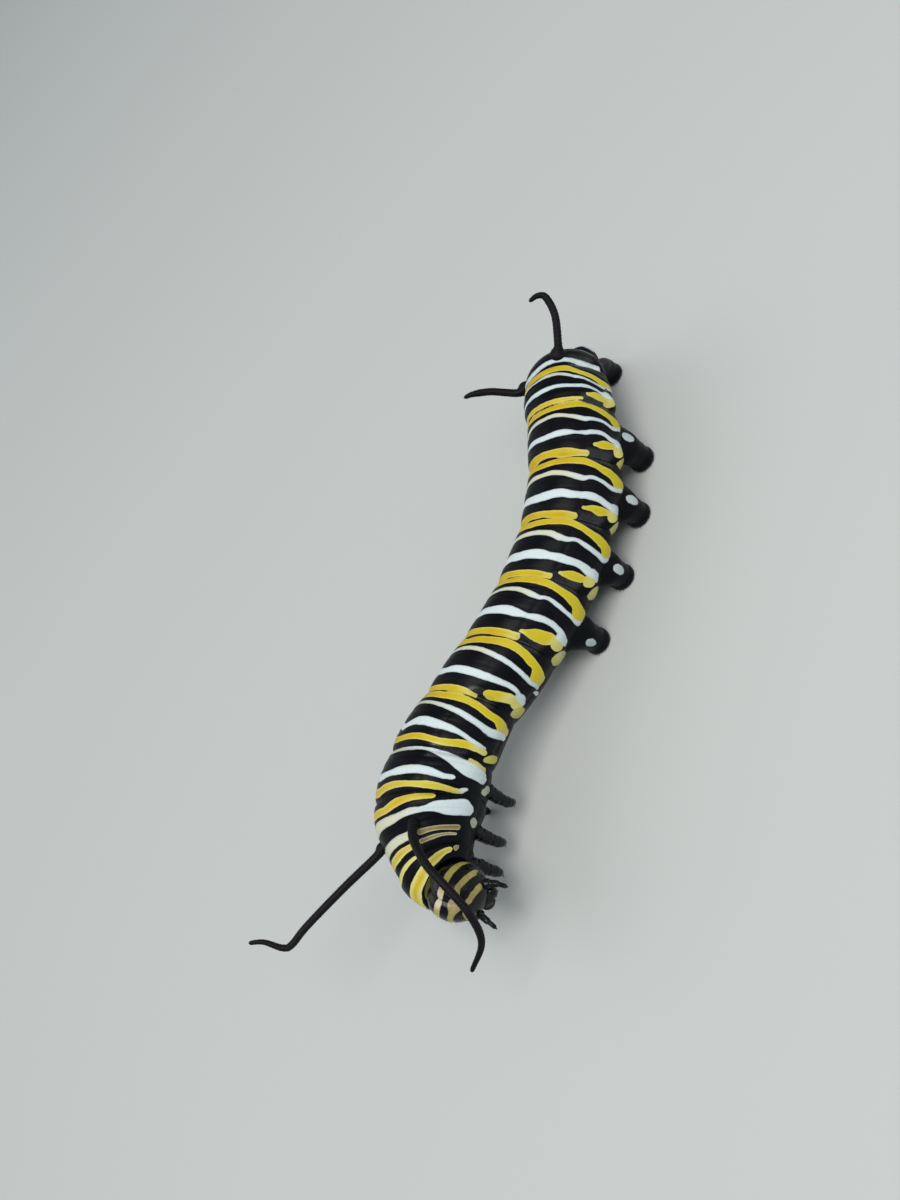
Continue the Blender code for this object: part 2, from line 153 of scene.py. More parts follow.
class Spine:
    """The curved centre line, measured back from the neck."""

    STEP = 0.02
    ANCHOR_FOLD = 7
    ANCHOR = (1.967, 6.979, 3.35)
    BACK = 0.97
    BELLY = 0.92
    SWELL = 0.03

    def __init__(self) -> None:
        """Lays the line out through the folds."""
        rows = (NECK_FOLD,) + SEGMENTS
        self.headings = np.array([row.heading for row in rows])
        self.turns = np.array([row.heading + row.turn for row in rows])
        self.pitches = np.array([row.pitch for row in rows])
        self.rolls = np.array([row.roll for row in rows])
        self.widths = np.array([row.half_width for row in rows])
        self.lengths = np.array([row.length for row in SEGMENTS])
        self.stations = np.concatenate([[0.0], np.cumsum(self.lengths)])
        self.places = np.arange(0.0, self.stations[-1] + self.STEP, self.STEP)
        steps = -self.STEP * self.course(self.places[:-1] + self.STEP / 2)
        self.line = np.concatenate([np.zeros((1, 3)), np.cumsum(steps, axis=0)])
        anchor = self.centre(self.stations[self.ANCHOR_FOLD])
        self.line = self.line - anchor + np.array(self.ANCHOR)

    def read(self, s: Array, values: Array) -> Array:
        """A fold value at any place along the body."""
        return np.interp(s, self.stations, values)

    def course(self, s: Array) -> Array:
        """The way the centre line runs toward the head."""
        heading, pitch = self.read(s, self.headings), self.read(s, self.pitches)
        return direction_axes(heading, pitch, np.zeros_like(heading))[0]

    def centre(self, s: Array) -> Array:
        """Points of the centre line."""
        return np.stack([np.interp(s, self.places, self.line[:, k]) for k in range(3)], -1)

    def axes(self, s: Array) -> list[Array]:
        """Forward, left and up of the body's rings."""
        return direction_axes(*(self.read(s, v) for v in (self.turns, self.pitches, self.rolls)))

    def segment_at(self, s: Array) -> tuple[Array, Array]:
        """The segment number at each place, and the share of it that lies before the place."""
        i = np.clip(np.searchsorted(self.stations, s, side="right") - 1, 0, len(SEGMENTS) - 1)
        share = np.clip((s - self.stations[i]) / self.lengths[i], 0.0, 1.0)
        return i, share

    def half_width(self, s: Array) -> Array:
        """Half the body's width, without its small relief."""
        i, share = self.segment_at(np.asarray(s, float))
        ease = share * share * (3.0 - 2.0 * share)
        width = self.widths[i] * (1.0 - ease) + self.widths[i + 1] * ease
        width = width * (1.0 + self.SWELL * np.sin(np.pi * share) ** 0.8)
        tail = self.widths[-2] * np.sqrt(np.maximum(1.0 - share ** 3.2, 0.01))
        return np.where(i == len(SEGMENTS) - 1, tail, width)

    def place(self, name: str, share: float = 0.5) -> float:
        """Distance from the neck to a point along a segment."""
        i = [row.name for row in SEGMENTS].index(name)
        return float(self.stations[i] + share * self.lengths[i])

    def skin(self, s: Array, angle: Array, extra: Array | float = 0.0) -> Array:
        """Points of the plain skin.

        Args:
            s: Distances from the neck.
            angle: Angles round the body.
            extra: How far out of the plain skin each point lies.

        Returns:
            The points.
        """
        a = np.radians(angle)
        width = self.half_width(s)
        height = np.where(np.cos(a) > 0, self.BACK, self.BELLY)
        _, left, up = self.axes(s)
        across = (width + extra) * np.sin(a)
        rise = (width * height + extra) * np.cos(a)
        return self.centre(s) + across[..., None] * left + rise[..., None] * up

    def outward(self, s: float, angle: float) -> Array:
        """The way out of the skin at a place."""
        _, left, up = self.axes(np.array(s))
        a = math.radians(angle)
        return math.sin(a) * left + math.cos(a) * up


SPINE = Spine()


def level_ways(s: float, side: int) -> tuple[Array, Array]:
    """The ways ahead and outward along the floor at a place of the body."""
    forward = SPINE.axes(np.array(s))[0]
    forward = unit(np.array([forward[0], forward[1], 0.0]))
    return forward, np.array([-forward[1], forward[0], 0.0]) * side


# Markings

class Tint(Enum):
    """The colours of the skin's markings: white, yellow and olive pigment, and tan, which is painted shade on
    pale stripes.
    """

    WHITE = "white"
    YELLOW = "yellow"
    OLIVE = "olive"
    TAN = "tan"


@dataclass(frozen=True)
class Band:
    """A stripe across a segment.

    Its edges are rows of an angle and the front and rear edge there, as shares of the
    segment's length. It runs from angle start to angle end on both sides.
    """

    tint: Tint
    edges: Knots
    end: float
    start: float = -1.0


@dataclass(frozen=True)
class Spot:
    """An oval mark: its middle as an angle and a share, half sizes in degrees and shares."""

    tint: Tint
    angle: float
    share: float
    half_angle: float
    half_share: float
    slant: float = 0.0


def edges(*numbers: float) -> Knots:
    """Groups numbers in threes: an angle, and the front and rear edge there in hundredths."""
    return tuple((a, front / 100.0, rear / 100.0) for a, front, rear in zip(*[iter(numbers)] * 3))


W, Y, O, TAN = Tint.WHITE, Tint.YELLOW, Tint.OLIVE, Tint.TAN
FAR_OUTSIDE = -0.4

MARKINGS: dict[str, tuple[Band | Spot, ...]] = {
    "prothorax": (
        Band(Y, edges(0, 6, 42, 28, 6, 42, 45, 10, 45, 60, 14, 54, 75, 27, 60), 86),
        Band(Y, edges(0, 74, 92, 28, 73, 91, 38, 76, 90), 43),
        # A small dull tan spot: painted shade.
        Spot(TAN, 93, 0.50, 5, 0.20),
    ),
    "mesothorax": (
        Band(Y, edges(0, 6, 19, 20, 8, 19, 32, 9, 18), 38),
        Band(W, edges(0, 25, 38, 20, 25, 38, 32, 25, 37), 37),
        # Two pale stripes painted a dull tan: painted shade.
        Band(TAN, edges(43, 11, 19, 60, 12, 19, 85, 15, 20), 96, 42),
        Band(TAN, edges(46, 24, 34, 60, 25, 34, 85, 25, 35), 101, 44),
        Band(W, edges(
            0, 56, 70, 20, 56, 70, 30, 59, 70, 45, 61, 73, 60, 62, 73, 70, 59, 80, 80, 53, 82,
            90, 51, 84, 105, 51, 87, 112, 52, 78,
        ), 117),
        Band(Y, edges(0, 75, 87, 15, 75, 87, 30, 79, 94, 45, 84, 98, 60, 86, 100), 71),
        Spot(O, 126, 0.47, 9, 0.09),
    ),
    "metathorax": (
        Band(Y, edges(0, 6, 22, 30, 13, 28, 45, 14, 27, 60, 10, 26, 75, 6, 20, 90, 2, 12), 102),
        Band(W, edges(0, 33, 50, 15, 38, 53, 30, 41, 60, 50, 42, 60, 60, 38, 56, 75, 31, 44), 87),
        Band(W, edges(
            0, 89, 98, 30, 93, 102, 50, 94, 103, 60, 89, 103, 75, 76, 102, 85, 62, 98, 95, 49, 92,
            110, 42, 86, 120, 38, 80,
        ), 131),
        Band(Y, edges(98, 86, 100, 108, 82, 97, 120, 74, 90), 127, 97),
        Spot(W, 99, 0.10, 6, 0.06, 0.004),
        Spot(O, 132, 0.20, 7, 0.10),
        Spot(O, 139, 0.34, 8, 0.11),
    ),
    "abdomen_1": (
        Band(Y, edges(0, 8, 18, 30, 12, 22, 60, 9, 19, 85, 11, 23, 105, 10, 20), 114),
        Band(W, edges(
            0, 28, 39, 15, 34, 47, 45, 32, 46, 60, 31, 42, 75, 28, 36, 90, 21, 29, 105, 19, 24,
        ), 109),
        Band(W, edges(
            0, 72, 77, 30, 69, 76, 60, 61, 70, 75, 55, 65, 90, 50, 60, 105, 45, 58, 120, 47, 64,
            130, 51, 66,
        ), 137),
        Band(Y, edges(
            0, 84, 95, 30, 83, 95, 60, 81, 93, 75, 77, 90, 90, 71, 85, 105, 66, 83, 112, 58, 82,
            130, 60, 76,
        ), 138),
        Spot(O, 127, 0.12, 13, 0.08, 0.004),
    ),
    "abdomen_2": (
        Band(Y, edges(0, -2, 7, 25, -2, 7.5, 38, -3.5, 6.5, 50, -4, 5, 60, -3, 3), 66),
        Band(Y, edges(70, 5, 13, 80, 3, 17, 95, 6, 20, 105, 8, 20), 110, 69),
        Band(W, edges(
            0, 25, 36, 12, 27, 39, 40, 25, 38, 60, 25, 36, 80, 26, 34, 95, 25, 33, 108, 22, 29,
            122, 20, 29,
        ), 128),
        Band(W, edges(0, 68, 74, 30, 65, 72, 60, 58, 66, 90, 51, 58, 105, 49, 56, 125, 52, 58), 131),
        Band(Y, edges(
            0, 78, 88, 15, 79, 92, 30, 80, 93, 50, 81, 95, 75, 76, 89, 88, 70, 84, 97, 67, 81,
            103, 55.5, 78.5, 118, 55, 72,
        ), 130),
        Spot(W, 136, 0.50, 9, 0.035, 0.003),
        Spot(O, 130, 0.09, 13, 0.10, 0.003),
        Spot(Y, 115, 0.15, 13, 0.085),
        Spot(W, 115, 0.23, 13, 0.085),
    ),
    "abdomen_3": (
        Band(Y, edges(0, -2, 8.5, 22, -1.8, 9, 34, -3, 8.5, 48, -3, 7), 59),
        Band(Y, edges(58, 8.5, 14, 69, 6, 21.5, 80, 6, 24.5, 90, 8, 25, 96, 12, 22), 98, 54),
        Band(W, edges(
            0, 33, 45.5, 12, 32, 46.5, 30, 30, 45.5, 38, 29, 43, 48, 31, 40, 60, 32, 42, 80, 33, 41,
            92, 29, 38.5, 100, 25, 37, 112, 22, 33,
        ), 119),
        Band(W, edges(
            0, 73.5, 79, 30, 69, 76.5, 42, 64.5, 73, 50, 63, 70, 60, 65, 70.5, 75, 60, 67, 95, 57, 63,
            117, 57, 66, 122, 60, 69,
        ), 123),
        Band(Y, edges(
            0, 86, 95, 15, 86.5, 97.5, 30, 86.5, 98, 50, 85, 97, 60, 83, 94, 75, 78, 90,
            86, 73.5, 88.5, 93, 70, 87, 99, 60, 84, 114, 61, 79, 123, 65, 78,
        ), 125),
        Spot(O, 127, 0.10, 15, 0.12, 0.003),
        Spot(Y, 104, 0.175, 11, 0.09),
        Spot(W, 104, 0.26, 11, 0.09),
    ),
    "abdomen_4": (
        Band(Y, edges(0, -1.2, 9, 18, -1.2, 9.5, 34, -2, 8.5, 45, -1.2, 6.5), 53),
        Band(Y, edges(60, 8, 13, 70, 6, 18, 80, 6.5, 19, 88, 8, 18), 91, 57),
        Band(W, edges(
            0, 26.5, 42, 12, 28, 43, 30, 26, 42, 40, 26, 39, 50, 25.5, 40, 60, 25, 38, 75, 26, 36.5,
            88, 20, 34, 96, 18, 31, 104, 18, 33,
        ), 112),
        Band(W, edges(
            0, 69, 77.5, 20, 68, 76.5, 30, 66, 75.5, 42, 60, 70, 50, 59, 67, 60, 61, 67, 75, 55, 63,
            95, 51, 59, 115, 52.5, 62, 118, 55, 66,
        ), 121),
        Band(Y, edges(
            0, 84, 95.5, 30, 86, 97, 50, 84.5, 95.5, 60, 81, 92, 75, 74, 86, 90, 67.5, 83, 96, 65, 81,
            101, 57, 79, 113, 59, 75, 121, 61, 74.5,
        ), 123),
        Spot(O, 120, 0.09, 12, 0.105, 0.003),
        Spot(Y, 98, 0.155, 9, 0.09),
        Spot(W, 98, 0.25, 9, 0.09),
    ),
    "abdomen_5": (
        Band(Y, edges(0, 0, 11, 15, 0, 10.5, 26, -2.5, 10, 38, -3.5, 9, 48, -3, 7), 54),
        Band(Y, edges(60, 13, 18, 70, 12, 22, 80, 9, 22.5, 90, 12, 21), 93, 56),
        Band(W, edges(
            0, 28, 42.5, 12, 29, 43, 30, 30, 43.5, 42, 28, 40.5, 50, 29, 40, 60, 29, 41.5,
            75, 27.5, 38.5, 88, 22, 33, 96, 20, 32, 106, 22, 35,
        ), 114),
        Band(W, edges(
            0, 69.5, 77, 15, 69, 78, 30, 66, 74.5, 42, 60.5, 70, 52, 58, 66.5, 60, 61, 66.5,
            75, 56.5, 63, 90, 51, 58, 106, 54, 63, 113, 57, 66,
        ), 115),
        Band(Y, edges(
            0, 86, 96.5, 20, 87, 98, 40, 85, 96.5, 55, 82, 94.5, 65, 78, 90, 75, 72, 86, 90, 64, 83,
            96, 56, 80, 110, 60, 74,
        ), 117),
        Spot(O, 117, 0.05, 9.5, 0.10, 0.003),
        Spot(Y, 101, 0.16, 9, 0.09),
        Spot(W, 101, 0.25, 9, 0.09),
    ),
    "abdomen_6": (
        Band(Y, edges(0, 2.5, 14.5, 10, 2.2, 14.5, 22, -1, 14.5, 35, -1.5, 12.5, 46, -1, 9), 57),
        Band(Y, edges(65, 16, 22, 72, 14, 26, 80, 14, 27, 88, 15, 25), 92, 61),
        Band(W, edges(
            0, 35, 46, 15, 36, 47, 30, 35.5, 45.5, 42, 35.5, 41, 52, 34, 42, 60, 35.5, 44,
            75, 34.5, 43, 88, 26, 37, 98, 25, 36,
        ), 110),
        Band(W, edges(
            0, 72, 79, 20, 71, 79, 30, 68, 76, 42, 63, 72, 52, 59.5, 69, 60, 61, 68, 75, 59, 65.5,
            92, 52, 59, 105, 56, 65,
        ), 110),
        Band(Y, edges(
            0, 86, 98.5, 30, 87, 100, 50, 87, 99, 60, 84, 97.5, 75, 75, 90, 90, 65, 84, 95, 57, 82,
            106, 61, 78,
        ), 114),
        Spot(O, 112, 0.02, 9, 0.09, 0.003),
        Spot(Y, 99, 0.165, 9, 0.1),
        Spot(W, 99, 0.27, 9, 0.1),
    ),
    "abdomen_7": (
        Band(Y, edges(0, 2.5, 12, 30, 3, 11, 45, 2, 8), 56),
        Band(Y, edges(66, 12, 20, 75, 8, 24, 86, 8, 20), 90, 61),
        Band(W, edges(
            0, 33, 45, 30, 34, 43, 45, 31, 39, 60, 31, 40, 75, 28, 35, 88, 18, 28, 100, 18, 30,
        ), 109),
        Band(W, edges(
            0, 69, 74, 20, 69, 77, 35, 66, 74, 50, 57, 66, 65, 52, 58, 78, 44, 50, 90, 39, 46,
            115, 50, 58,
        ), 124),
        Band(Y, edges(
            0, 78, 96, 20, 79, 97, 35, 78, 94, 50, 73, 89, 65, 63, 76, 80, 53, 68, 90, 44, 63,
            105, 50, 62,
        ), 119),
        Spot(Y, 97, 0.11, 11, 0.11),
        Spot(W, 97, 0.22, 11, 0.11),
    ),
    "abdomen_8": (
        Band(W, edges(0, 3, 14, 45, 4, 16, 60, 2, 14, 80, -8, 10, 95, -10, 12), 104),
        Band(W, edges(80, 60, 68, 90, 52, 66), 110, 79),
        Band(Y, edges(80, 76, 90, 90, 68, 88), 106, 79),
    ),
    "abdomen_9_10": (
        Band(W, edges(0, 44, 53, 50, 40, 50, 90, 22, 36), 108),
        Band(Y, edges(0, 62, 71, 50, 58, 69, 85, 46, 58), 98),
    ),
}


def marking_fields(s: Array, angle: Array) -> dict[Tint, Array]:
    """How deep each point lies inside each pigment's marks, in millimetres.

    Args:
        s: Distances from the neck.
        angle: Angles round the body.

    Returns:
        A field for each pigment, above zero inside its marks.
    """
    fields = {tint: np.full(s.shape, FAR_OUTSIDE) for tint in Tint}
    side = np.abs(angle)
    arc = SPINE.half_width(s) * math.pi / 180.0
    drift = 0.018 * np.sin(3.1 * s + 0.07 * angle) + 0.014 * np.sin(0.11 * angle + 1.7 * s)
    for i, row in enumerate(SEGMENTS):
        for mark in MARKINGS[row.name]:
            if isinstance(mark, Band):
                depth = band_depth(mark, i, s + drift, side, arc)
            else:
                depth = spot_depth(mark, i, s, side, arc)
            fields[mark.tint] = np.maximum(fields[mark.tint], depth)
    return fields


def band_depth(band: Band, i: int, s: Array, side: Array, arc: Array) -> Array:
    """How deep points lie inside a band, which narrows to round ends."""
    angles = [row[0] for row in band.edges]
    front = through(side, [(a, row[1]) for a, row in zip(angles, band.edges)])
    rear = through(side, [(a, row[2]) for a, row in zip(angles, band.edges)])
    length = SPINE.lengths[i]
    middle = SPINE.stations[i] + 0.5 * (front + rear) * length
    half = 0.5 * (rear - front) * length
    left = (band.end - side) * arc
    if band.start > 0.0:
        left = np.minimum(left, (side - band.start) * arc)
    near_end = np.clip(left / np.maximum(half, 0.05), 0.0, 1.0)
    rounded = half * np.sqrt(1.0 - (1.0 - near_end) ** 2)
    depth = rounded - np.abs(s - middle)
    return np.where(left > 0.0, depth, np.minimum(left, depth))


def spot_depth(spot: Spot, i: int, s: Array, side: Array, arc: Array) -> Array:
    """How deep points lie inside an oval spot."""
    length = SPINE.lengths[i]
    middle = SPINE.stations[i] + (spot.share + spot.slant * (side - spot.angle)) * length
    across = (side - spot.angle) / spot.half_angle
    along = (s - middle) / (spot.half_share * length)
    return (1.0 - np.hypot(across, along)) * spot.half_share * length


# Scene objects

def deselect() -> None:
    """Leaves nothing selected and the last object out of edit mode."""
    if bpy.context.object and bpy.context.object.mode != "OBJECT":
        bpy.ops.object.mode_set(mode="OBJECT")
    bpy.ops.object.select_all(action="DESELECT")


def activate(obj: Piece) -> None:
    """Makes an object the only selected one."""
    deselect()
    obj.select_set(True)
    bpy.context.view_layer.objects.active = obj


def points_of(obj: Piece) -> Array:
    """The vertices' places, in metres."""
    flat = np.empty(len(obj.data.vertices) * 3)
    obj.data.vertices.foreach_get("co", flat)
    return flat.reshape(-1, 3)


def move_points(obj: Piece, points: Array) -> None:
    """Places the vertices, given in metres."""
    obj.data.vertices.foreach_set("co", np.ascontiguousarray(points, float).ravel())
    obj.data.update()


def copy_of(first: Piece, points: Array) -> Piece:
    """Copies an object with its own mesh and places its vertices, given in metres."""
    made = first.copy()
    made.data = first.data.copy()
    bpy.context.scene.collection.objects.link(made)
    move_points(made, points)
    return made


def add_attribute(obj: Piece, name: str, values: Array) -> None:
    """Stores a number on each vertex."""
    layer = obj.data.attributes.new(name, "FLOAT", "POINT")
    layer.data.foreach_set("value", np.ascontiguousarray(values, np.float32))


def read_attribute(obj: Piece, name: str) -> Array:
    """Reads the number stored on each vertex."""
    values = np.empty(len(obj.data.vertices), np.float32)
    obj.data.attributes[name].data.foreach_get("value", values)
    return values


def volume_of(obj: Piece) -> float:
    """The volume inside, below nought where the faces look inwards."""
    obj.data.calc_loop_triangles()
    corners = np.empty(len(obj.data.loop_triangles) * 3, np.int32)
    obj.data.loop_triangles.foreach_get("vertices", corners)
    points = points_of(obj)
    a, b, c = (points - points.mean(axis=0))[corners.reshape(-1, 3)].transpose(1, 0, 2)
    return float((a * np.cross(b, c)).sum() / 6.0)


def close_up(obj: Piece, distance: float = 0.002) -> None:
    """Merges vertices that lie nearer than the distance and turns the faces outwards."""
    activate(obj)
    bpy.ops.object.mode_set(mode="EDIT")
    bpy.ops.mesh.select_all(action="SELECT")
    if distance > 0.0:
        bpy.ops.mesh.remove_doubles(threshold=distance * MM)
    bpy.ops.mesh.normals_make_consistent(inside=False)
    bpy.ops.object.mode_set(mode="OBJECT")
    if volume_of(obj) < 0.0:
        obj.data.flip_normals()


def lift_to_floor(obj: Piece) -> None:
    """Flattens what would reach under the floor."""
    points = points_of(obj)
    points[:, 2] = np.maximum(points[:, 2], 0.0)
    move_points(obj, points)


def finish_piece(
    obj: Piece, name: str, material: Material, slot: str, nodes: Sequence[str] = ()
) -> Piece:
    """Names, dresses and mounts a piece.

    Args:
        obj: The piece.
        name: Its name.
        material: Its finish.
        slot: Not used.
        nodes: The solids that it stands for.

    Returns:
        The piece.
    """
    obj.name = name
    obj.data.name = name
    obj.data.materials.clear()
    obj.data.materials.append(material)
    activate(obj)
    bpy.ops.object.transform_apply(location=True, rotation=True, scale=True)
    bpy.ops.object.shade_smooth()
    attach(obj, ROOT)
    if nodes:
        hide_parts(*nodes)
    obj.data.calc_loop_triangles()
    LOG.info("%s: %d triangles", name, len(obj.data.loop_triangles))
    return obj


def grid_sheet(name: str, rows: int, columns: int) -> tuple[Piece, Array, Array]:
    """Adds a plain grid to be rolled up.

    Args:
        name: The object's name.
        rows: Faces along it.
        columns: Faces across it.

    Returns:
        The object, and each vertex's row and column as shares from 0 to 1.
    """
    deselect()
    bpy.ops.mesh.primitive_grid_add(x_subdivisions=rows, y_subdivisions=columns, size=2.0)
    obj = bpy.context.object
    obj.name = name
    flat = points_of(obj)
    return obj, (flat[:, 0] + 1.0) / 2.0, (flat[:, 1] + 1.0) / 2.0


def smooth_route(knots: Sequence[Array], steps: int = 6) -> Array:
    """Points of a smooth curve through the knots."""
    knots = [np.array(k, float) for k in knots]
    padded = [2 * knots[0] - knots[1]] + knots + [2 * knots[-1] - knots[-2]]
    route = []
    for a, b, c, d in zip(padded, padded[1:], padded[2:], padded[3:]):
        for k in range(steps):
            t = k / steps
            bend = (2 * a - 5 * b + 4 * c - d) * t * t + (3 * b - a - 3 * c + d) * t ** 3
            route.append(0.5 * (2 * b + (c - a) * t + bend))
    return np.array(route + [knots[-1]])


def route_length(route: Array) -> float:
    """The length of a route."""
    return np.linalg.norm(np.diff(route, axis=0), axis=1).sum()


def tube(
    name: str,
    route: Array,
    radius: Callable[[Array, Array], Array],
    rows: int = 120,
    columns: int = 24,
) -> Piece:
    """Rolls a grid round a route, drawn together at both ends.

    Args:
        name: The object's name.
        route: Points of its middle line, in millimetres.
        radius: Gives the radius from the way along, in millimetres, and the angle round it.
        rows: Faces along it.
        columns: Faces round it.

    Returns:
        The object, with its edges not yet merged.
    """
    obj, along, turn = grid_sheet(name, rows, columns)
    steps = np.linalg.norm(np.diff(route, axis=0), axis=1)
    lengths = np.concatenate([[0.0], np.cumsum(steps)])
    total = lengths[-1]
    ahead = unit(np.gradient(route, axis=0))
    sides = [np.cross(ahead[0], [0.31, 0.52, 0.79])]
    for way in ahead:
        side = sides[-1] - way * (sides[-1] @ way)
        sides.append(side / np.linalg.norm(side))
    sides = np.array(sides[1:])
    way = along * total
    angle = turn * 2.0 * math.pi
    middle = np.stack([np.interp(way, lengths, route[:, k]) for k in range(3)], -1)
    forward = unit(np.stack([np.interp(way, lengths, ahead[:, k]) for k in range(3)], -1))
    side = np.stack([np.interp(way, lengths, sides[:, k]) for k in range(3)], -1)
    side = unit(side - forward * (side * forward).sum(-1, keepdims=True))
    other = np.cross(forward, side)
    size = radius(way, angle)
    size = np.where((along < 1e-6) | (along > 1.0 - 1e-6), 0.0, size)
    points = middle + size[:, None] * (np.cos(angle)[:, None] * side + np.sin(angle)[:, None] * other)
    move_points(obj, points * MM)
    return obj


def limb(
    name: str, knots: Sequence[Array], steps: int, radius: Callable[[Array], Array], rows: int, columns: int
) -> Piece:
    """Rolls a closed tube that follows knots and stays above the floor.

    Args:
        name: The object's name.
        knots: Points that its middle line goes through, in millimetres.
        steps: Points of the line between one knot and the next.
        radius: Gives the radius in millimetres from the share of the length.
        rows: Faces along it.
        columns: Faces round it.

    Returns:
        The object.
    """
    route = smooth_route(knots, steps)
    total = route_length(route)
    obj = tube(name, route, lambda way, angle: radius(way / total), rows, columns)
    lift_to_floor(obj)
    close_up(obj)
    return obj


# Finishes

Link = Socket | float | Sequence[float]


class NodeBook:
    """Builds a material's nodes."""

    def __init__(self, name: str) -> None:
        """Starts an empty material with its shader."""
        self.material = bpy.data.materials.new(name)
        self.material.use_nodes = True
        self.tree = self.material.node_tree
        self.shader = self.tree.nodes["Principled BSDF"]

    def node(self, kind: str, output: str | int, inputs: dict[str | int, Link], **settings: str) -> Socket:
        """Adds a node.

        Args:
            kind: What sort of node it is.
            output: Which of its outputs is wanted.
            inputs: What its inputs are fed with.
            settings: Its settings.

        Returns:
            The output.
        """
        made = self.tree.nodes.new(f"ShaderNode{kind}")
        for key, value in settings.items():
            setattr(made, key, value)
        for key, value in inputs.items():
            self.feed(made.inputs[key], value)
        return made.outputs[output]

    def feed(self, socket: Socket, value: Link) -> None:
        """Links or sets a socket."""
        if isinstance(value, Socket):
            self.tree.links.new(value, socket)
        elif socket.type == "RGBA":
            socket.default_value = (*value, 1.0)
        else:
            socket.default_value = value

    def read(self, name: str) -> Socket:
        """A number stored on the mesh."""
        return self.node("Attribute", "Fac", {}, attribute_name=name)

    def place(self, scale: Triple = (1.0, 1.0, 1.0), flat: bool = False) -> Socket:
        """Object coordinates, or the piece's own flat map, scaled."""
        coordinates = self.node("TexCoord", "UV" if flat else "Object", {})
        return self.node("Mapping", "Vector", {"Vector": coordinates, "Scale": scale})

    def noise(self, place: Link, scale: float, detail: float, roughness: float) -> Socket:
        """Cloudy noise from 0 to 1."""
        inputs = {"Vector": place, "Scale": scale, "Detail": detail, "Roughness": roughness}
        return self.node("TexNoise", "Fac", inputs)

    def ragged(self, place: Link, scale: float, amount: float) -> Socket:
        """Small steps to and fro that rough up the edge of a mark."""
        return self.times(self.minus(self.noise(place, scale, 3.0, 0.6), 0.5), amount)

    def cells(self, place: Link, scale: float) -> Socket:
        """Distance to the nearest of many scattered points."""
        return self.node("TexVoronoi", "Distance", {"Vector": place, "Scale": scale})

    def plus(self, a: Link, b: Link) -> Socket:
        """The sum of two numbers."""
        return self.node("Math", 0, {0: a, 1: b}, operation="ADD")

    def minus(self, a: Link, b: Link) -> Socket:
        """The first number less the second."""
        return self.node("Math", 0, {0: a, 1: b}, operation="SUBTRACT")

    def times(self, a: Link, b: Link) -> Socket:
        """The product of two numbers."""
        return self.node("Math", 0, {0: a, 1: b}, operation="MULTIPLY")

    def larger(self, a: Link, b: Link) -> Socket:
        """The larger of two numbers."""
        return self.node("Math", 0, {0: a, 1: b}, operation="MAXIMUM")

    def ramp(self, value: Link, low: float, high: float, start: float = 0.0, stop: float = 1.0) -> Socket:
        """A soft step between two values."""
        inputs = {"From Min": low, "From Max": high, "To Min": start, "To Max": stop, "Value": value}
        return self.node("MapRange", "Result", inputs, interpolation_type="SMOOTHSTEP")

    def mix(self, share: Link, a: Link, b: Link) -> Socket:
        """Mixes two colours."""
        return self.node("Mix", 2, {0: share, 6: a, 7: b}, data_type="RGBA")

    def relief(self, height: Link, strength: float, distance: float) -> Socket:
        """Small relief from a height."""
        return self.node("Bump", "Normal", {"Strength": strength, "Distance": distance, "Height": height})

    def set(self, **values: Link) -> None:
        """Sets sockets of the shader by name, with underscores for spaces."""
        for key, value in values.items():
            self.feed(self.shader.inputs[key.replace("_", " ")], value)


def colour(text: str) -> Triple:
    """Turns six hexadecimal digits into light amounts."""
    parts = [int(text[k:k + 2], 16) / 255.0 for k in (0, 2, 4)]
    return tuple(c / 12.92 if c <= 0.04045 else ((c + 0.055) / 1.055) ** 2.4 for c in parts)


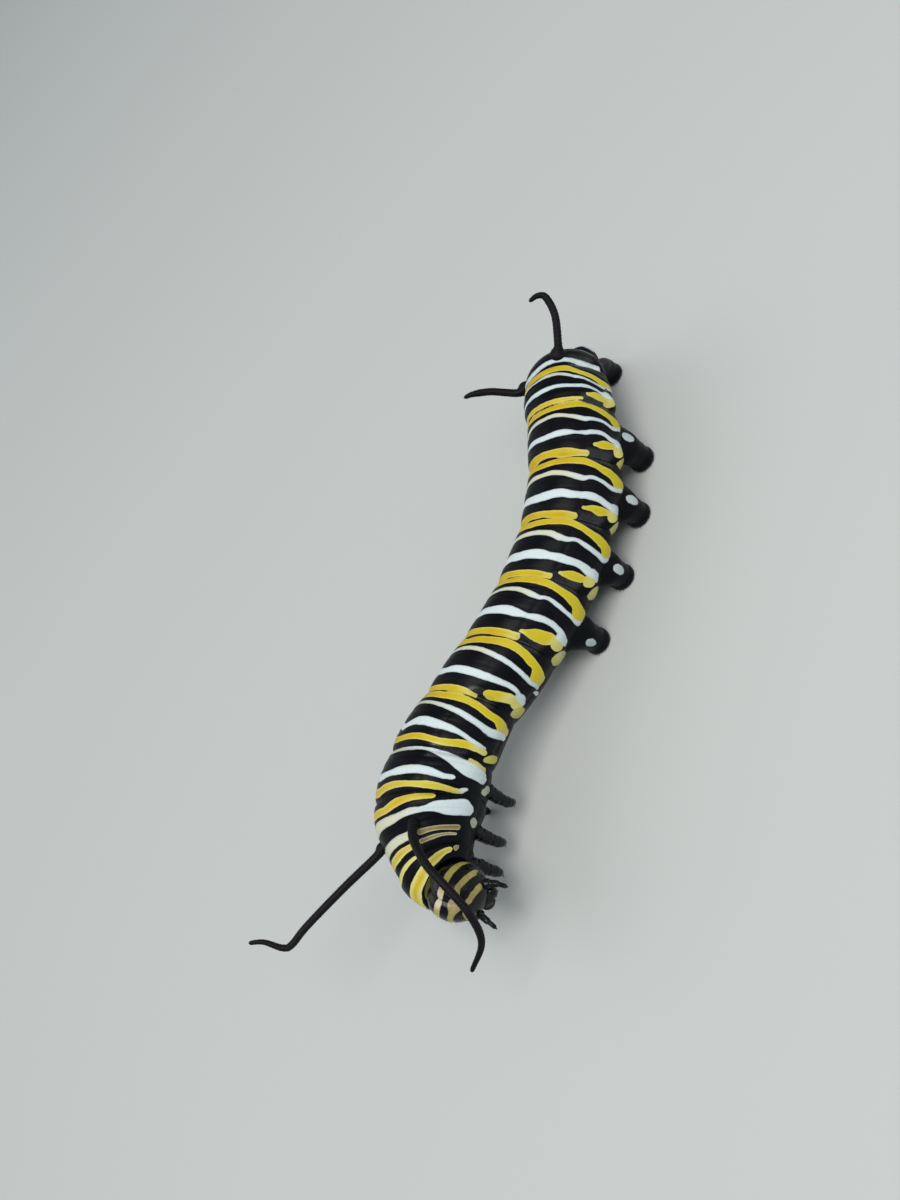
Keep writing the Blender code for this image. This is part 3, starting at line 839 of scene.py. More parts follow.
@dataclass(frozen=True)
class SkinFinish:
    """The larva's banded skin, satin, with fine grain and creases."""

    black: str = "050609"
    black_blue: str = "0A0C13"
    black_sheen: str = "0E1119"
    wet: str = "0D0912"
    white: str = "CFDBDC"
    white_warm: str = "CDCDB0"
    white_edge: str = "93A3A8"
    yellow: str = "C8B61C"
    yellow_ochre: str = "BC940E"
    yellow_pale: str = "D8CE80"
    knob: str = "D2CC7C"
    olive: str = "BDB45C"
    olive_grey: str = "B3B78C"
    tan: str = "94875A"
    # Tan is painted shade: pale stripes painted dull where they lie in shade.
    tan_dark: str = "7A6E44"
    tan_edge_highlight: str = "BDB898"
    # Pale edges of the tan marks: a painted highlight.
    white_grain: str = "AEBCC2"
    thorax_spot: str = "AEB5AA"
    leg_spot: str = "B4BEC0"
    sole: str = "2E2624"

    def make(self) -> Material:
        """Builds the material."""
        book = NodeBook("larva_skin")
        where = book.place()
        cloud = book.noise(where, 900.0, 4.0, 0.6)
        grain = book.noise(where, 9000.0, 2.0, 0.5)
        ragged = book.ragged(where, 2600.0, 0.07)
        depths = {tint: book.plus(book.read(tint.value), ragged) for tint in Tint}
        masks = {tint: book.ramp(depth, -0.012, 0.016) for tint, depth in depths.items()}
        marked = book.larger(masks[Tint.WHITE], masks[Tint.YELLOW])
        skin = book.mix(marked, self.dark(book, where, cloud), self.bright(book, depths, cloud, grain))
        spot = book.mix(book.ramp(cloud, 0.4, 0.7), colour(self.olive), colour(self.olive_grey))
        spot = book.mix(book.times(book.read("thorax"), 0.85), spot, colour(self.thorax_spot))
        skin = book.mix(masks[Tint.OLIVE], skin, spot)
        # The tan marks: painted shade, a dull tan laid over pale stripes.
        dull = book.mix(book.ramp(cloud, 0.4, 0.65), colour(self.tan), colour(self.tan_dark))
        # Paler toward their edges: a painted highlight that gives the tan stripes a creased look.
        dull = book.mix(book.ramp(depths[Tint.TAN], 0.02, 0.09, 0.75, 0.0), dull, colour(self.tan_edge_highlight))
        skin = book.mix(masks[Tint.TAN], skin, dull)
        on_leg = book.ramp(book.plus(book.read("leg_spot"), ragged), -0.015, 0.03)
        skin = book.mix(on_leg, skin, colour(self.leg_spot))
        skin = book.mix(book.ramp(book.read("down"), 0.84, 0.9), skin, colour(self.sole))
        gloss = book.ramp(marked, 0.0, 1.0, 0.40, 0.5)
        gloss = book.minus(gloss, book.times(book.read("membrane"), 0.24))
        gloss = book.plus(gloss, book.times(book.minus(cloud, 0.5), 0.2))
        book.set(Base_Color=skin, Roughness=gloss, Normal=self.wrinkled(book, where))
        wet = book.times(book.read("membrane"), 0.6)
        book.set(Specular_IOR_Level=book.plus(wet, book.ramp(marked, 0.0, 1.0, 0.10, 0.24)))
        return book.material

    def dark(self, book: NodeBook, where: Link, cloud: Link) -> Socket:
        """The black parts: blue-black, with a painted sheen of fine lighter granules."""
        # Lighter granules scattered over the black: a painted sheen.
        granules = book.ramp(book.cells(where, 16000.0), 0.10, 0.34, 0.6, 0.0)
        tone = book.mix(book.ramp(cloud, 0.35, 0.75), colour(self.black), colour(self.black_blue))
        tone = book.mix(granules, tone, colour(self.black_sheen))
        return book.mix(book.read("membrane"), tone, colour(self.wet))

    def bright(
        self, book: NodeBook, depths: dict[Tint, Socket], cloud: Link, grain: Link
    ) -> Socket:
        """The white and yellow of the stripes, which melt together where they meet."""
        dorsal, low = book.read("dorsal"), book.read("low")
        warm = book.times(dorsal, book.read("warmth"))
        pale = book.mix(warm, colour(self.white), colour(self.white_warm))
        pale = book.mix(book.ramp(grain, 0.45, 0.75, 0.0, 0.25), pale, colour(self.white_grain))
        pale = book.mix(book.ramp(depths[Tint.WHITE], 0.0, 0.11, 0.5, 0.0), pale, colour(self.white_edge))
        ochre = book.times(book.ramp(cloud, 0.3, 0.7, 0.35, 1.0), dorsal)
        gold = book.mix(book.times(ochre, 0.7), colour(self.yellow), colour(self.yellow_ochre))
        gold = book.mix(book.ramp(depths[Tint.YELLOW], 0.02, 0.10, 0.4, 0.0), gold, colour(self.yellow_pale))
        rim = book.times(book.ramp(depths[Tint.YELLOW], 0.04, 0.24, 1.0, 0.0), book.read("ahead"))
        rim = book.times(rim, book.read("thorax"))
        gold = book.mix(rim, gold, colour(self.knob))
        gold = book.mix(book.times(book.read("fade"), 0.8), gold, colour(self.knob))
        ahead = book.minus(depths[Tint.YELLOW], depths[Tint.WHITE])
        softer = book.minus(1.0, book.times(low, 0.65))
        return book.mix(book.ramp(book.times(ahead, softer), -0.05, 0.06), pale, gold)

    def wrinkled(self, book: NodeBook, where: Link) -> Socket:
        """Fine wrinkles round the body, over a leathery grain."""
        wrinkles = book.noise(book.place((26.0, 3.0, 1.0), True), 5.0, 5.0, 0.62)
        folds = book.noise(book.place((60.0, 14.0, 1.0), True), 5.0, 3.0, 0.5)
        folds = book.times(book.times(folds, book.read("membrane")), 1.5)
        height = book.plus(wrinkles, book.times(book.cells(where, 14000.0), 0.14))
        return book.relief(book.plus(height, folds), 0.45, 0.00006)


@dataclass(frozen=True)
class ShellFinish:
    """Hard shiny shell: the mouth parts, eyes, walking legs, claws, hooks, hairs and rims."""

    name: str = "shell"
    base: str = "060709"
    light: str = "11131A"
    gloss: float = 0.22
    pits: float = 5200.0

    def make(self) -> Material:
        """Builds the material."""
        book = NodeBook(self.name)
        where = book.place()
        cloud = book.noise(where, 1200.0, 4.0, 0.6)
        tone = book.mix(book.ramp(cloud, 0.35, 0.8), colour(self.base), colour(self.light))
        pits = book.cells(where, self.pits)
        height = book.plus(book.times(pits, 0.6), book.times(cloud, 0.5))
        rough = book.ramp(cloud, 0.3, 0.8, self.gloss - 0.05, self.gloss + 0.12)
        book.set(Base_Color=tone, Roughness=rough, Normal=book.relief(height, 0.35, 0.00004))
        book.set(Specular_IOR_Level=0.22, Coat_Weight=0.06, Coat_Roughness=0.12)
        return book.material


@dataclass(frozen=True)
class FilamentFinish:
    """The soft black filaments: matt, purple-black, finely ringed."""

    base: str = "060509"
    light: str = "0E0B13"

    def make(self) -> Material:
        """Builds the material."""
        book = NodeBook("filament_skin")
        where = book.place()
        cloud = book.noise(where, 1500.0, 4.0, 0.65)
        tone = book.mix(book.ramp(cloud, 0.35, 0.75), colour(self.base), colour(self.light))
        rings = book.noise(book.place((90.0, 3.0, 1.0), True), 3.0, 4.0, 0.6)
        height = book.plus(rings, book.times(book.cells(where, 12000.0), 0.4))
        book.set(Base_Color=tone, Roughness=book.ramp(cloud, 0.2, 0.8, 0.46, 0.62))
        book.set(Normal=book.relief(height, 0.35, 0.00005))
        book.set(Specular_IOR_Level=0.18)
        return book.material


# Skin

@dataclass(frozen=True)
class Proleg:
    """A stout fleshy leg drawn out of the skin.

    Its stance is how far out it stands, its lean how far ahead its foot is, its reach how much
    of the skin it draws out, and its spot a share of its height and a turn round it.
    """

    name: str
    segment: str
    share: float
    side: int
    stance: float
    size: float
    lean: float
    reach: float
    spot: tuple[float, float] = (0.8, 0.0)


PROLEGS = tuple(
    Proleg(
        f"proleg_a{n}_{label}", f"abdomen_{n}", 0.55, side, 2.15, 1.12, 0.0, 1.75,
        spot if side > 0 else (0.62, -6.0),
    )
    for n, spot in ((3, (0.62, -38.0)), (4, (0.74, -8.0)), (5, (0.84, 4.0)), (6, (0.98, 8.0)))
    for label, side in (("left", 1), ("right", -1))
) + tuple(
    Proleg(f"proleg_anal_{label}", "abdomen_9_10", 0.42, side, 1.15, 1.05, -0.3, 1.35)
    for label, side in (("left", 1), ("right", -1))
)


class LegFrame:
    """Where a fleshy leg stands under the body."""

    ROOT_SHARE = 0.45

    def __init__(self, leg: Proleg) -> None:
        """Finds the leg's root and the ways ahead and outward along the floor."""
        self.leg = leg
        self.station = SPINE.place(leg.segment, leg.share)
        self.forward, self.outward = level_ways(self.station, leg.side)
        self.centre = SPINE.centre(np.array(self.station))
        self.width = float(SPINE.half_width(np.array(self.station)))
        self.top = self.centre[2] - self.ROOT_SHARE * self.width
        choices = np.arange(95.0, 179.0) * leg.side
        ring = SPINE.skin(np.full(choices.shape, self.station), choices)
        root = self.centre + (leg.stance - 0.2) * self.outward
        self.root_angle = choices[np.argmin(np.abs((ring - root) @ self.outward))]

    def arc(self, angle: Array) -> Array:
        """Distance round the body from the leg's root, positive toward the belly."""
        turned = (angle - self.root_angle + 180.0) % 360.0 - 180.0
        return turned * self.leg.side * self.width * math.pi / 180.0

    def point(self, share: Array, radius: Array, phi: Array) -> Array:
        """Points of the leg.

        Args:
            share: Heights, as shares of the leg's top.
            radius: Distances from the leg's middle line.
            phi: Ways round it in radians, with a quarter turn back for outward.

        Returns:
            The points.
        """
        inward = 0.55 * np.maximum(share - 0.35, 0.0)
        axis = self.centre + (self.leg.stance - inward)[:, None] * self.outward
        axis = axis + (self.leg.lean * (1.0 - share))[:, None] * self.forward
        axis[:, 2] = self.top * np.maximum(share, 0.0)
        ring = -np.cos(phi)[:, None] * self.forward - np.sin(phi)[:, None] * self.outward
        return axis + radius[:, None] * ring


@dataclass
class Skin:
    """The one soft skin from the neck to the tail, with the fleshy legs drawn out of it."""

    rows: int = 430
    columns: int = 216
    neck_rows: int = 10
    tail_rows: int = 26
    tail_cap: float = 0.9
    upper_reach: float = 1.15
    end_reach: float = 1.45
    oval_angles: tuple[float, ...] = (129.0, 126.0, 119.0, 114.0, 109.0)
    neck_depth: float = 0.35
    lip: float = 0.3
    lip_draw: float = 0.08
    flat_length: float = 35.0
    creases: Knots = (
        (0.13, 0.022, 0.035), (0.29, 0.03, 0.05), (0.46, 0.02, 0.04), (0.64, 0.03, 0.05), (0.82, 0.03, 0.045),
    )
    leg_profile: Knots = (
        (0.00, 1.22, 1.12), (0.18, 0.95, 1.00), (0.32, 0.72, 0.90), (0.46, 0.48, 0.74), (0.58, 0.28, 0.62),
        (0.70, 0.14, 0.70), (0.80, 0.04, 0.66), (0.86, 0.00, 0.54), (1.00, 0.00, 0.00),
    )
    spot_radius: float = 0.30
    spot_stretch: Triple = (1.0, 1.0, 1.65)
    tail_flat: float = 0.75
    tail_pull: float = 0.95
    tail_drop: float = 0.25

    def stations(self) -> Array:
        """Where the rows lie, from inside the neck to the tip of the tail."""
        end = SPINE.stations[-1]
        body = self.rows + 1 - self.neck_rows - self.tail_rows
        tail = end - self.tail_cap * (1.0 - np.sin(np.linspace(0.0, math.pi / 2, self.tail_rows + 1)[1:]))
        inner = np.linspace(self.neck_depth, 0.0, self.neck_rows, endpoint=False)
        return np.concatenate([inner, np.linspace(0.0, end - self.tail_cap, body), tail])

    def relief(self, s: Array, angle: Array) -> Array:
        """The ups and downs of the skin, in millimetres."""
        side = np.abs(angle)
        i, share = SPINE.segment_at(s)
        length = SPINE.lengths[i]
        height = np.zeros(s.shape)
        wave = 0.035 * np.sin(np.radians(3.0 * angle) + 2.3 * i)
        wave = wave + 0.02 * np.sin(np.radians(7.0 * angle) + i)
        flank = smooth(side, 46.0, 68.0) * (1.0 - smooth(side, 90.0, 108.0))
        low = smooth(side, 96.0, 112.0)
        for station in SPINE.stations[1:-1]:
            away = s - station - wave * 0.5
            height -= (0.10 + 0.05 * flank) * (1.0 - 0.6 * low) * bump(away, 0.0, 0.10)
            height -= (0.05 + 0.12 * flank) * bump(away, 0.0, 0.42)
            crinkle = np.sin(away * 34.0 + np.radians(9.0 * angle))
            height += 0.014 * flank * crinkle * bump(away, 0.0, 0.4)
        for at, depth, half in self.creases:
            height -= depth * bump((share - at) * length + wave, 0.0, half)
        along = smooth(share, 0.05, 0.25) * (1.0 - smooth(share, 0.7, 0.9))
        height -= 0.03 * bump(side, 53.0, 2.6) * along
        abdomen = (i >= 3) & (i <= 9)
        knobs = 0.13 * bump(side, 100.0, 13.0) * bump(share, 0.21, 0.13)
        knobs += 0.10 * bump(side, 112.0, 16.0) * bump(share, 0.66, 0.14)
        ovals = np.interp(i, (4, 5, 6, 7, 8), self.oval_angles)
        knobs += 0.16 * bump(side, ovals, 13.0) * bump(share, 0.09, 0.11)
        knobs -= 0.06 * bump(side, 98.0, 18.0) * bump(share, 0.43, 0.10)
        height += np.where(abdomen, knobs, 0.05 * bump(side, 104.0, 12.0) * np.sin(np.pi * share))
        height -= 0.05 * bump(side, 128.0, 5.0) * np.sin(np.pi * share)
        tail = smooth(s, SPINE.place("abdomen_8", 0.45), SPINE.place("abdomen_9_10", 0.3))
        return height - self.tail_flat * tail * smooth(np.cos(np.radians(angle)), 0.0, 0.8)

    def drawn_out(self, points: Array, s: Array, angle: Array) -> tuple[Array, ...]:
        """Draws the fleshy legs out of the skin.

        Args:
            points: The skin's points, in millimetres.
            s: Distances from the neck.
            angle: Angles round the body.

        Returns:
            The moved points, how far down a leg each lies, from 0 to 1, and how deep inside
            the pale spot of a leg.
        """
        points = points.copy()
        down = np.zeros(s.shape)
        spots = np.full(s.shape, FAR_OUTSIDE)
        for leg in PROLEGS:
            stand = LegFrame(leg)
            arc = stand.arc(angle)
            along = s - stand.station
            tall = arc * np.where(arc < 0.0, leg.reach / self.upper_reach, 1.0)
            away = np.hypot(along * leg.reach / self.end_reach, tall)
            inside = away < leg.reach
            q = 1.0 - away[inside] / leg.reach
            phi = np.arctan2(tall[inside], along[inside])
            share = through(q, [(row[0], row[1]) for row in self.leg_profile])
            radius = leg.size * through(q, [(row[0], row[2]) for row in self.leg_profile])
            radius *= 1.0 + 0.03 * np.sin(26.0 * q) * smooth(q, 0.15, 0.3) * (1.0 - smooth(q, 0.55, 0.7))
            target = stand.point(share, radius, phi)
            blend = smooth(q, 0.0, 0.40)[:, None]
            points[inside] = points[inside] * (1.0 - blend) + target * blend
            down[inside] = np.maximum(down[inside], q)
            turn = np.array([math.radians(leg.spot[1] - 90.0)])
            middle = stand.point(np.array([leg.spot[0]]), np.array([leg.size * 0.9]), turn)
            away = np.linalg.norm((points[inside] - middle) / self.spot_stretch, axis=1)
            pale = self.spot_radius - away if leg.segment != SEGMENTS[-1].name else FAR_OUTSIDE
            spots[inside] = np.maximum(spots[inside], pale)
        return points, down, spots

    def tail_shape(self, points: Array, s: Array) -> Array:
        """Draws the tail in and down behind the rear filaments, above the feet."""
        forward = level_ways(SPINE.place("abdomen_9_10"), 1)[0]
        pull = self.tail_pull * forward - np.array([0.0, 0.0, self.tail_drop])
        weight = smooth(s, SPINE.place("abdomen_8", 0.5), SPINE.place("abdomen_9_10", 0.8))
        weight = weight * smooth(points[:, 2], 0.9, 3.0)
        return points + weight[:, None] * pull

    def neck_shape(self, points: Array, row: Array, s: Array) -> Array:
        """Rolls the front edge inwards behind the head and closes it."""
        neck = row < self.neck_rows
        middle = SPINE.centre(s[neck])
        share = row[neck] / self.neck_rows
        points[neck] = middle + (points[neck] - middle) * (0.92 * np.sin(share * math.pi / 2))[:, None]
        lip = (row >= self.neck_rows) & (s < self.lip)
        middle = SPINE.centre(s[lip])
        draw = 1.0 - self.lip_draw * (1.0 - smooth(s[lip], 0.0, self.lip))
        points[lip] = middle + (points[lip] - middle) * draw[:, None]
        return points

    def build(self, material: Material) -> Piece:
        """Makes the skin.

        Args:
            material: Its finish.

        Returns:
            The skin.
        """
        obj, along, turn = grid_sheet("skin", self.rows, self.columns)
        row = np.rint(along * self.rows).astype(int)
        s = self.stations()[row]
        angle = turn * 360.0 - 180.0
        points = SPINE.skin(s, angle, self.relief(s, angle))
        points, down, spots = self.drawn_out(points, s, angle)
        points = self.tail_shape(points, s)
        points = self.neck_shape(points, row, s)
        tip = row == self.rows
        points[tip] = points[tip].mean(axis=0)
        points[:, 2] = np.maximum(points[:, 2], 0.0)
        move_points(obj, points * MM)
        self.store(obj, s, angle, down)
        add_attribute(obj, "leg_spot", spots)
        close_up(obj)
        nodes = [row.name for row in SEGMENTS] + [leg.name for leg in PROLEGS]
        return finish_piece(obj, "skin", material, "skin", nodes)

    def store(self, obj: Piece, s: Array, angle: Array, down: Array) -> None:
        """Stores what the finish reads: the marks, the membranes and a flat map."""
        side = np.abs(angle)
        i, share = SPINE.segment_at(s)
        on_leg = smooth(down, 0.30, 0.42)
        fields = {
            tint.value: depth * (1.0 - on_leg) - 0.3 * on_leg
            for tint, depth in marking_fields(s, angle).items()
        }
        nearest = np.abs(s[:, None] - SPINE.stations[None, 3:11]).min(axis=1)
        wedge = smooth(side, 48.0, 58.0) * (1.0 - smooth(side, 84.0, 96.0))
        knobs = smooth(side, 85.0, 98.0) * (1.0 - smooth(share, 0.36, 0.46))
        tips = 0.75 * smooth(side, 108.0, 124.0) * smooth(share, 0.46, 0.56) * (i > 2)
        ends = 0.75 * smooth(side, 36.0, 54.0) * (1.0 - smooth(side, 60.0, 64.0)) * (share < 0.13) * (i > 3)
        rims = smooth(side, 88.0, 98.0) * (i == 2)
        behind = smooth(s, SPINE.place("prothorax", 0.9), SPINE.place("mesothorax", 0.3))
        fields |= {
            "membrane": wedge * (1.0 - smooth(nearest, 0.2, 0.5)),
            "dorsal": 1.0 - smooth(side, 25.0, 62.0),
            "warmth": np.maximum(smooth(share, 0.5, 0.62), (i == 1) * 1.0),
            "low": smooth(side, 85.0, 100.0),
            "fade": np.maximum.reduce([knobs, tips, ends, rims]),
            "ahead": 1.0 - 0.7 * behind,
            "thorax": 1.0 * (i < 3),
            "down": down,
        }
        for name, values in fields.items():
            add_attribute(obj, name, values)
        layer = obj.data.uv_layers.active or obj.data.uv_layers.new(name="flat_map")
        loops = np.empty(len(obj.data.loops), np.int32)
        obj.data.loops.foreach_get("vertex_index", loops)
        flat = np.stack([s / self.flat_length, angle / 360.0 + 0.5], -1)[loops]
        layer.data.foreach_set("uv", np.ascontiguousarray(flat, np.float32).ravel())


# Filaments

@dataclass
class Filament:
    """A soft tapered feeler that grows from the back."""

    name: str
    segment: str
    share: float
    angle: float
    thickness: Triple
    steps: tuple[Triple, ...]
    root_shift: tuple[float, float] = (0.0, 0.0)
    flare: float = 0.35
    flare_length: float = 0.30
    depth: float = 0.6

    def build(self, material: Material) -> Piece:
        """Makes the filament, sunk a little into the skin."""
        start = SPINE.skin(np.array(SPINE.place(self.segment, self.share)), np.array(self.angle))
        s = SPINE.place(self.segment, self.share + self.root_shift[0])
        angle = self.angle + self.root_shift[1]
        root = SPINE.skin(np.array(s), np.array(angle))
        outward = SPINE.outward(s, angle)
        first = unit(np.array(self.steps[1]) - np.array(self.steps[0]) * 0.5)
        inner = root - self.depth * unit(0.8 * outward + 0.5 * first)
        knots = [inner, root] + [start + np.array(step) for step in self.steps]
        route = smooth_route(knots, 12)
        total = route_length(route)

        def radius(way: Array, angle: Array) -> Array:
            beyond = way - self.depth
            share = np.clip(beyond / (total - self.depth), 0.0, 1.0)
            size = np.interp(share, [0.0, 0.75, 1.0], self.thickness)
            size = size * (1.0 + self.flare * np.exp(-((np.maximum(beyond, 0.0) / self.flare_length) ** 2)))
            rings = 0.006 * np.sin(beyond * 31.0 + 0.8 * np.sin(beyond * 3.0) + 0.5 * np.sin(angle))
            rings += 0.004 * np.sin(beyond * 67.0 + np.cos(2.0 * angle))
            tip = np.sqrt(np.clip((total - way) / (1.2 * self.thickness[2]), 0.0, 1.0))
            return (size + rings * smooth(beyond, 0.1, 0.4)) * tip

        obj = tube(self.name, route, radius, 260, 28)
        close_up(obj)
        return finish_piece(obj, self.name, material, "filament", [self.name])


FRONT_THICKNESS = (0.24, 0.205, 0.115)
REAR_THICKNESS = (0.235, 0.215, 0.11)
FILAMENTS = (
    Filament(
        "filament_front_right", "mesothorax", 0.5, -40.0, FRONT_THICKNESS,
        (
            (-0.2, -0.6, 0.1), (-1.4, -2.6, 0.5), (-2.7, -5.2, 1.1), (-3.2, -6.4, 1.3),
            (-3.5, -6.7, 1.6), (-4.2, -6.7, 2.4), (-4.8, -7.0, 2.9),
        ),
    ),
    Filament(
        "filament_front_left", "mesothorax", 0.5, 40.0, FRONT_THICKNESS,
        (
            (0.9, -0.6, 0.4), (1.8, -1.2, 0.6), (2.8, -1.8, 0.6), (3.8, -2.4, 0.1),
            (4.8, -3.3, -1.0), (5.0, -4.5, -2.3), (4.3, -6.1, -3.0),
        ),
        (-0.04, 4.0),
    ),
    Filament(
        "filament_rear_left", "abdomen_8", 0.3, 42.0, REAR_THICKNESS,
        ((0.2, 0.5, 0.5), (0.05, 1.8, 1.2), (-0.4, 2.6, 1.85), (-0.75, 2.55, 2.2), (-1.05, 2.1, 2.4)),
        flare=1.0,
    ),
    Filament(
        "filament_rear_right", "abdomen_8", 0.3, -42.0, REAR_THICKNESS,
        (
            (-0.3, -0.35, 0.25), (-0.9, -0.45, 0.55), (-1.65, -0.65, 1.15), (-2.3, -1.1, 1.8),
            (-2.7, -1.45, 2.05),
        ),
        flare=1.0,
    ),
)


# Head

def ovoid(name: str, cuts: int, shape: Callable[[Array], Array]) -> Piece:
    """Adds a ball of six square patches and gives it a shape.

    Args:
        name: The object's name.
        cuts: Cuts along each side of a patch.
        shape: Gives the points, in millimetres, from their directions out of the middle.

    Returns:
        The object.
    """
    deselect()
    bpy.ops.mesh.primitive_cube_add(size=2.0)
    obj = bpy.context.object
    obj.name = name
    bpy.ops.object.mode_set(mode="EDIT")
    bpy.ops.mesh.select_all(action="SELECT")
    bpy.ops.mesh.subdivide(number_cuts=cuts)
    bpy.ops.object.mode_set(mode="OBJECT")
    move_points(obj, shape(unit(np.tan(points_of(obj) * math.pi / 4.0))) * MM)
    close_up(obj, 0.0)
    return obj


def join(name: str, pieces: Sequence[Piece]) -> Piece:
    """Joins pieces into one object."""
    activate(pieces[0])
    for piece in pieces[1:]:
        piece.select_set(True)
    bpy.ops.object.join()
    pieces[0].name = name
    return pieces[0]


def route_distance(points: Array, route: Sequence[Triple]) -> Array:
    """Distance from each point to a bent line."""
    nearest = np.full(len(points), 1e9)
    for a, b in zip(route, route[1:]):
        start, step = np.array(a), np.array(b) - np.array(a)
        t = np.clip((points - start) @ step / (step @ step), 0.0, 1.0)
        nearest = np.minimum(nearest, np.linalg.norm(points - start - t[:, None] * step, axis=1))
    return nearest


@dataclass(frozen=True)
class HeadFinish:
    """The shiny black capsule with its pale arches."""

    black: str = "060709"
    brown: str = "0F0C0B"
    outer: str = "A79E55"
    # The outer arch's colour near the middle of the head: partly its own pale yellow, partly a painted
    # highlight of glare.
    top: str = "CFC6AE"
    inner: str = "9F9658"
    tan: str = "A6966C"
    outer_dark: str = "8F7F3C"
    inner_dark: str = "7C6A38"

    def make(self) -> Material:
        """Builds the material."""
        book = NodeBook("head_shell")
        where = book.place()
        cloud = book.noise(where, 1400.0, 4.0, 0.6)
        ragged = book.ragged(where, 3600.0, 0.08)
        outer = book.plus(book.read("outer"), ragged)
        inner = book.plus(book.read("inner"), ragged)
        middle = book.read("middle")
        tone = book.mix(book.ramp(cloud, 0.4, 0.8), colour(self.black), colour(self.brown))
        # The outer arch turns paler toward the middle: partly its own colour, partly painted highlight.
        bright = book.mix(middle, colour(self.outer), colour(self.top))
        duller = book.mix(middle, colour(self.inner), colour(self.tan))
        bright = book.mix(book.ramp(cloud, 0.45, 0.75, 0.0, 0.5), bright, colour(self.outer_dark))
        duller = book.mix(book.ramp(cloud, 0.4, 0.7, 0.0, 0.6), duller, colour(self.inner_dark))
        tone = book.mix(book.ramp(outer, -0.02, 0.03), tone, bright)
        tone = book.mix(book.ramp(inner, -0.02, 0.03), tone, duller)
        pits = book.cells(where, 7000.0)
        height = book.plus(book.times(pits, 0.5), book.times(cloud, 0.8))
        rough = book.ramp(cloud, 0.3, 0.8, 0.16, 0.32)
        book.set(Base_Color=tone, Roughness=rough, Normal=book.relief(height, 0.4, 0.00005))
        book.set(Specular_IOR_Level=0.2, Coat_Weight=0.1, Coat_Roughness=0.1)
        return book.material


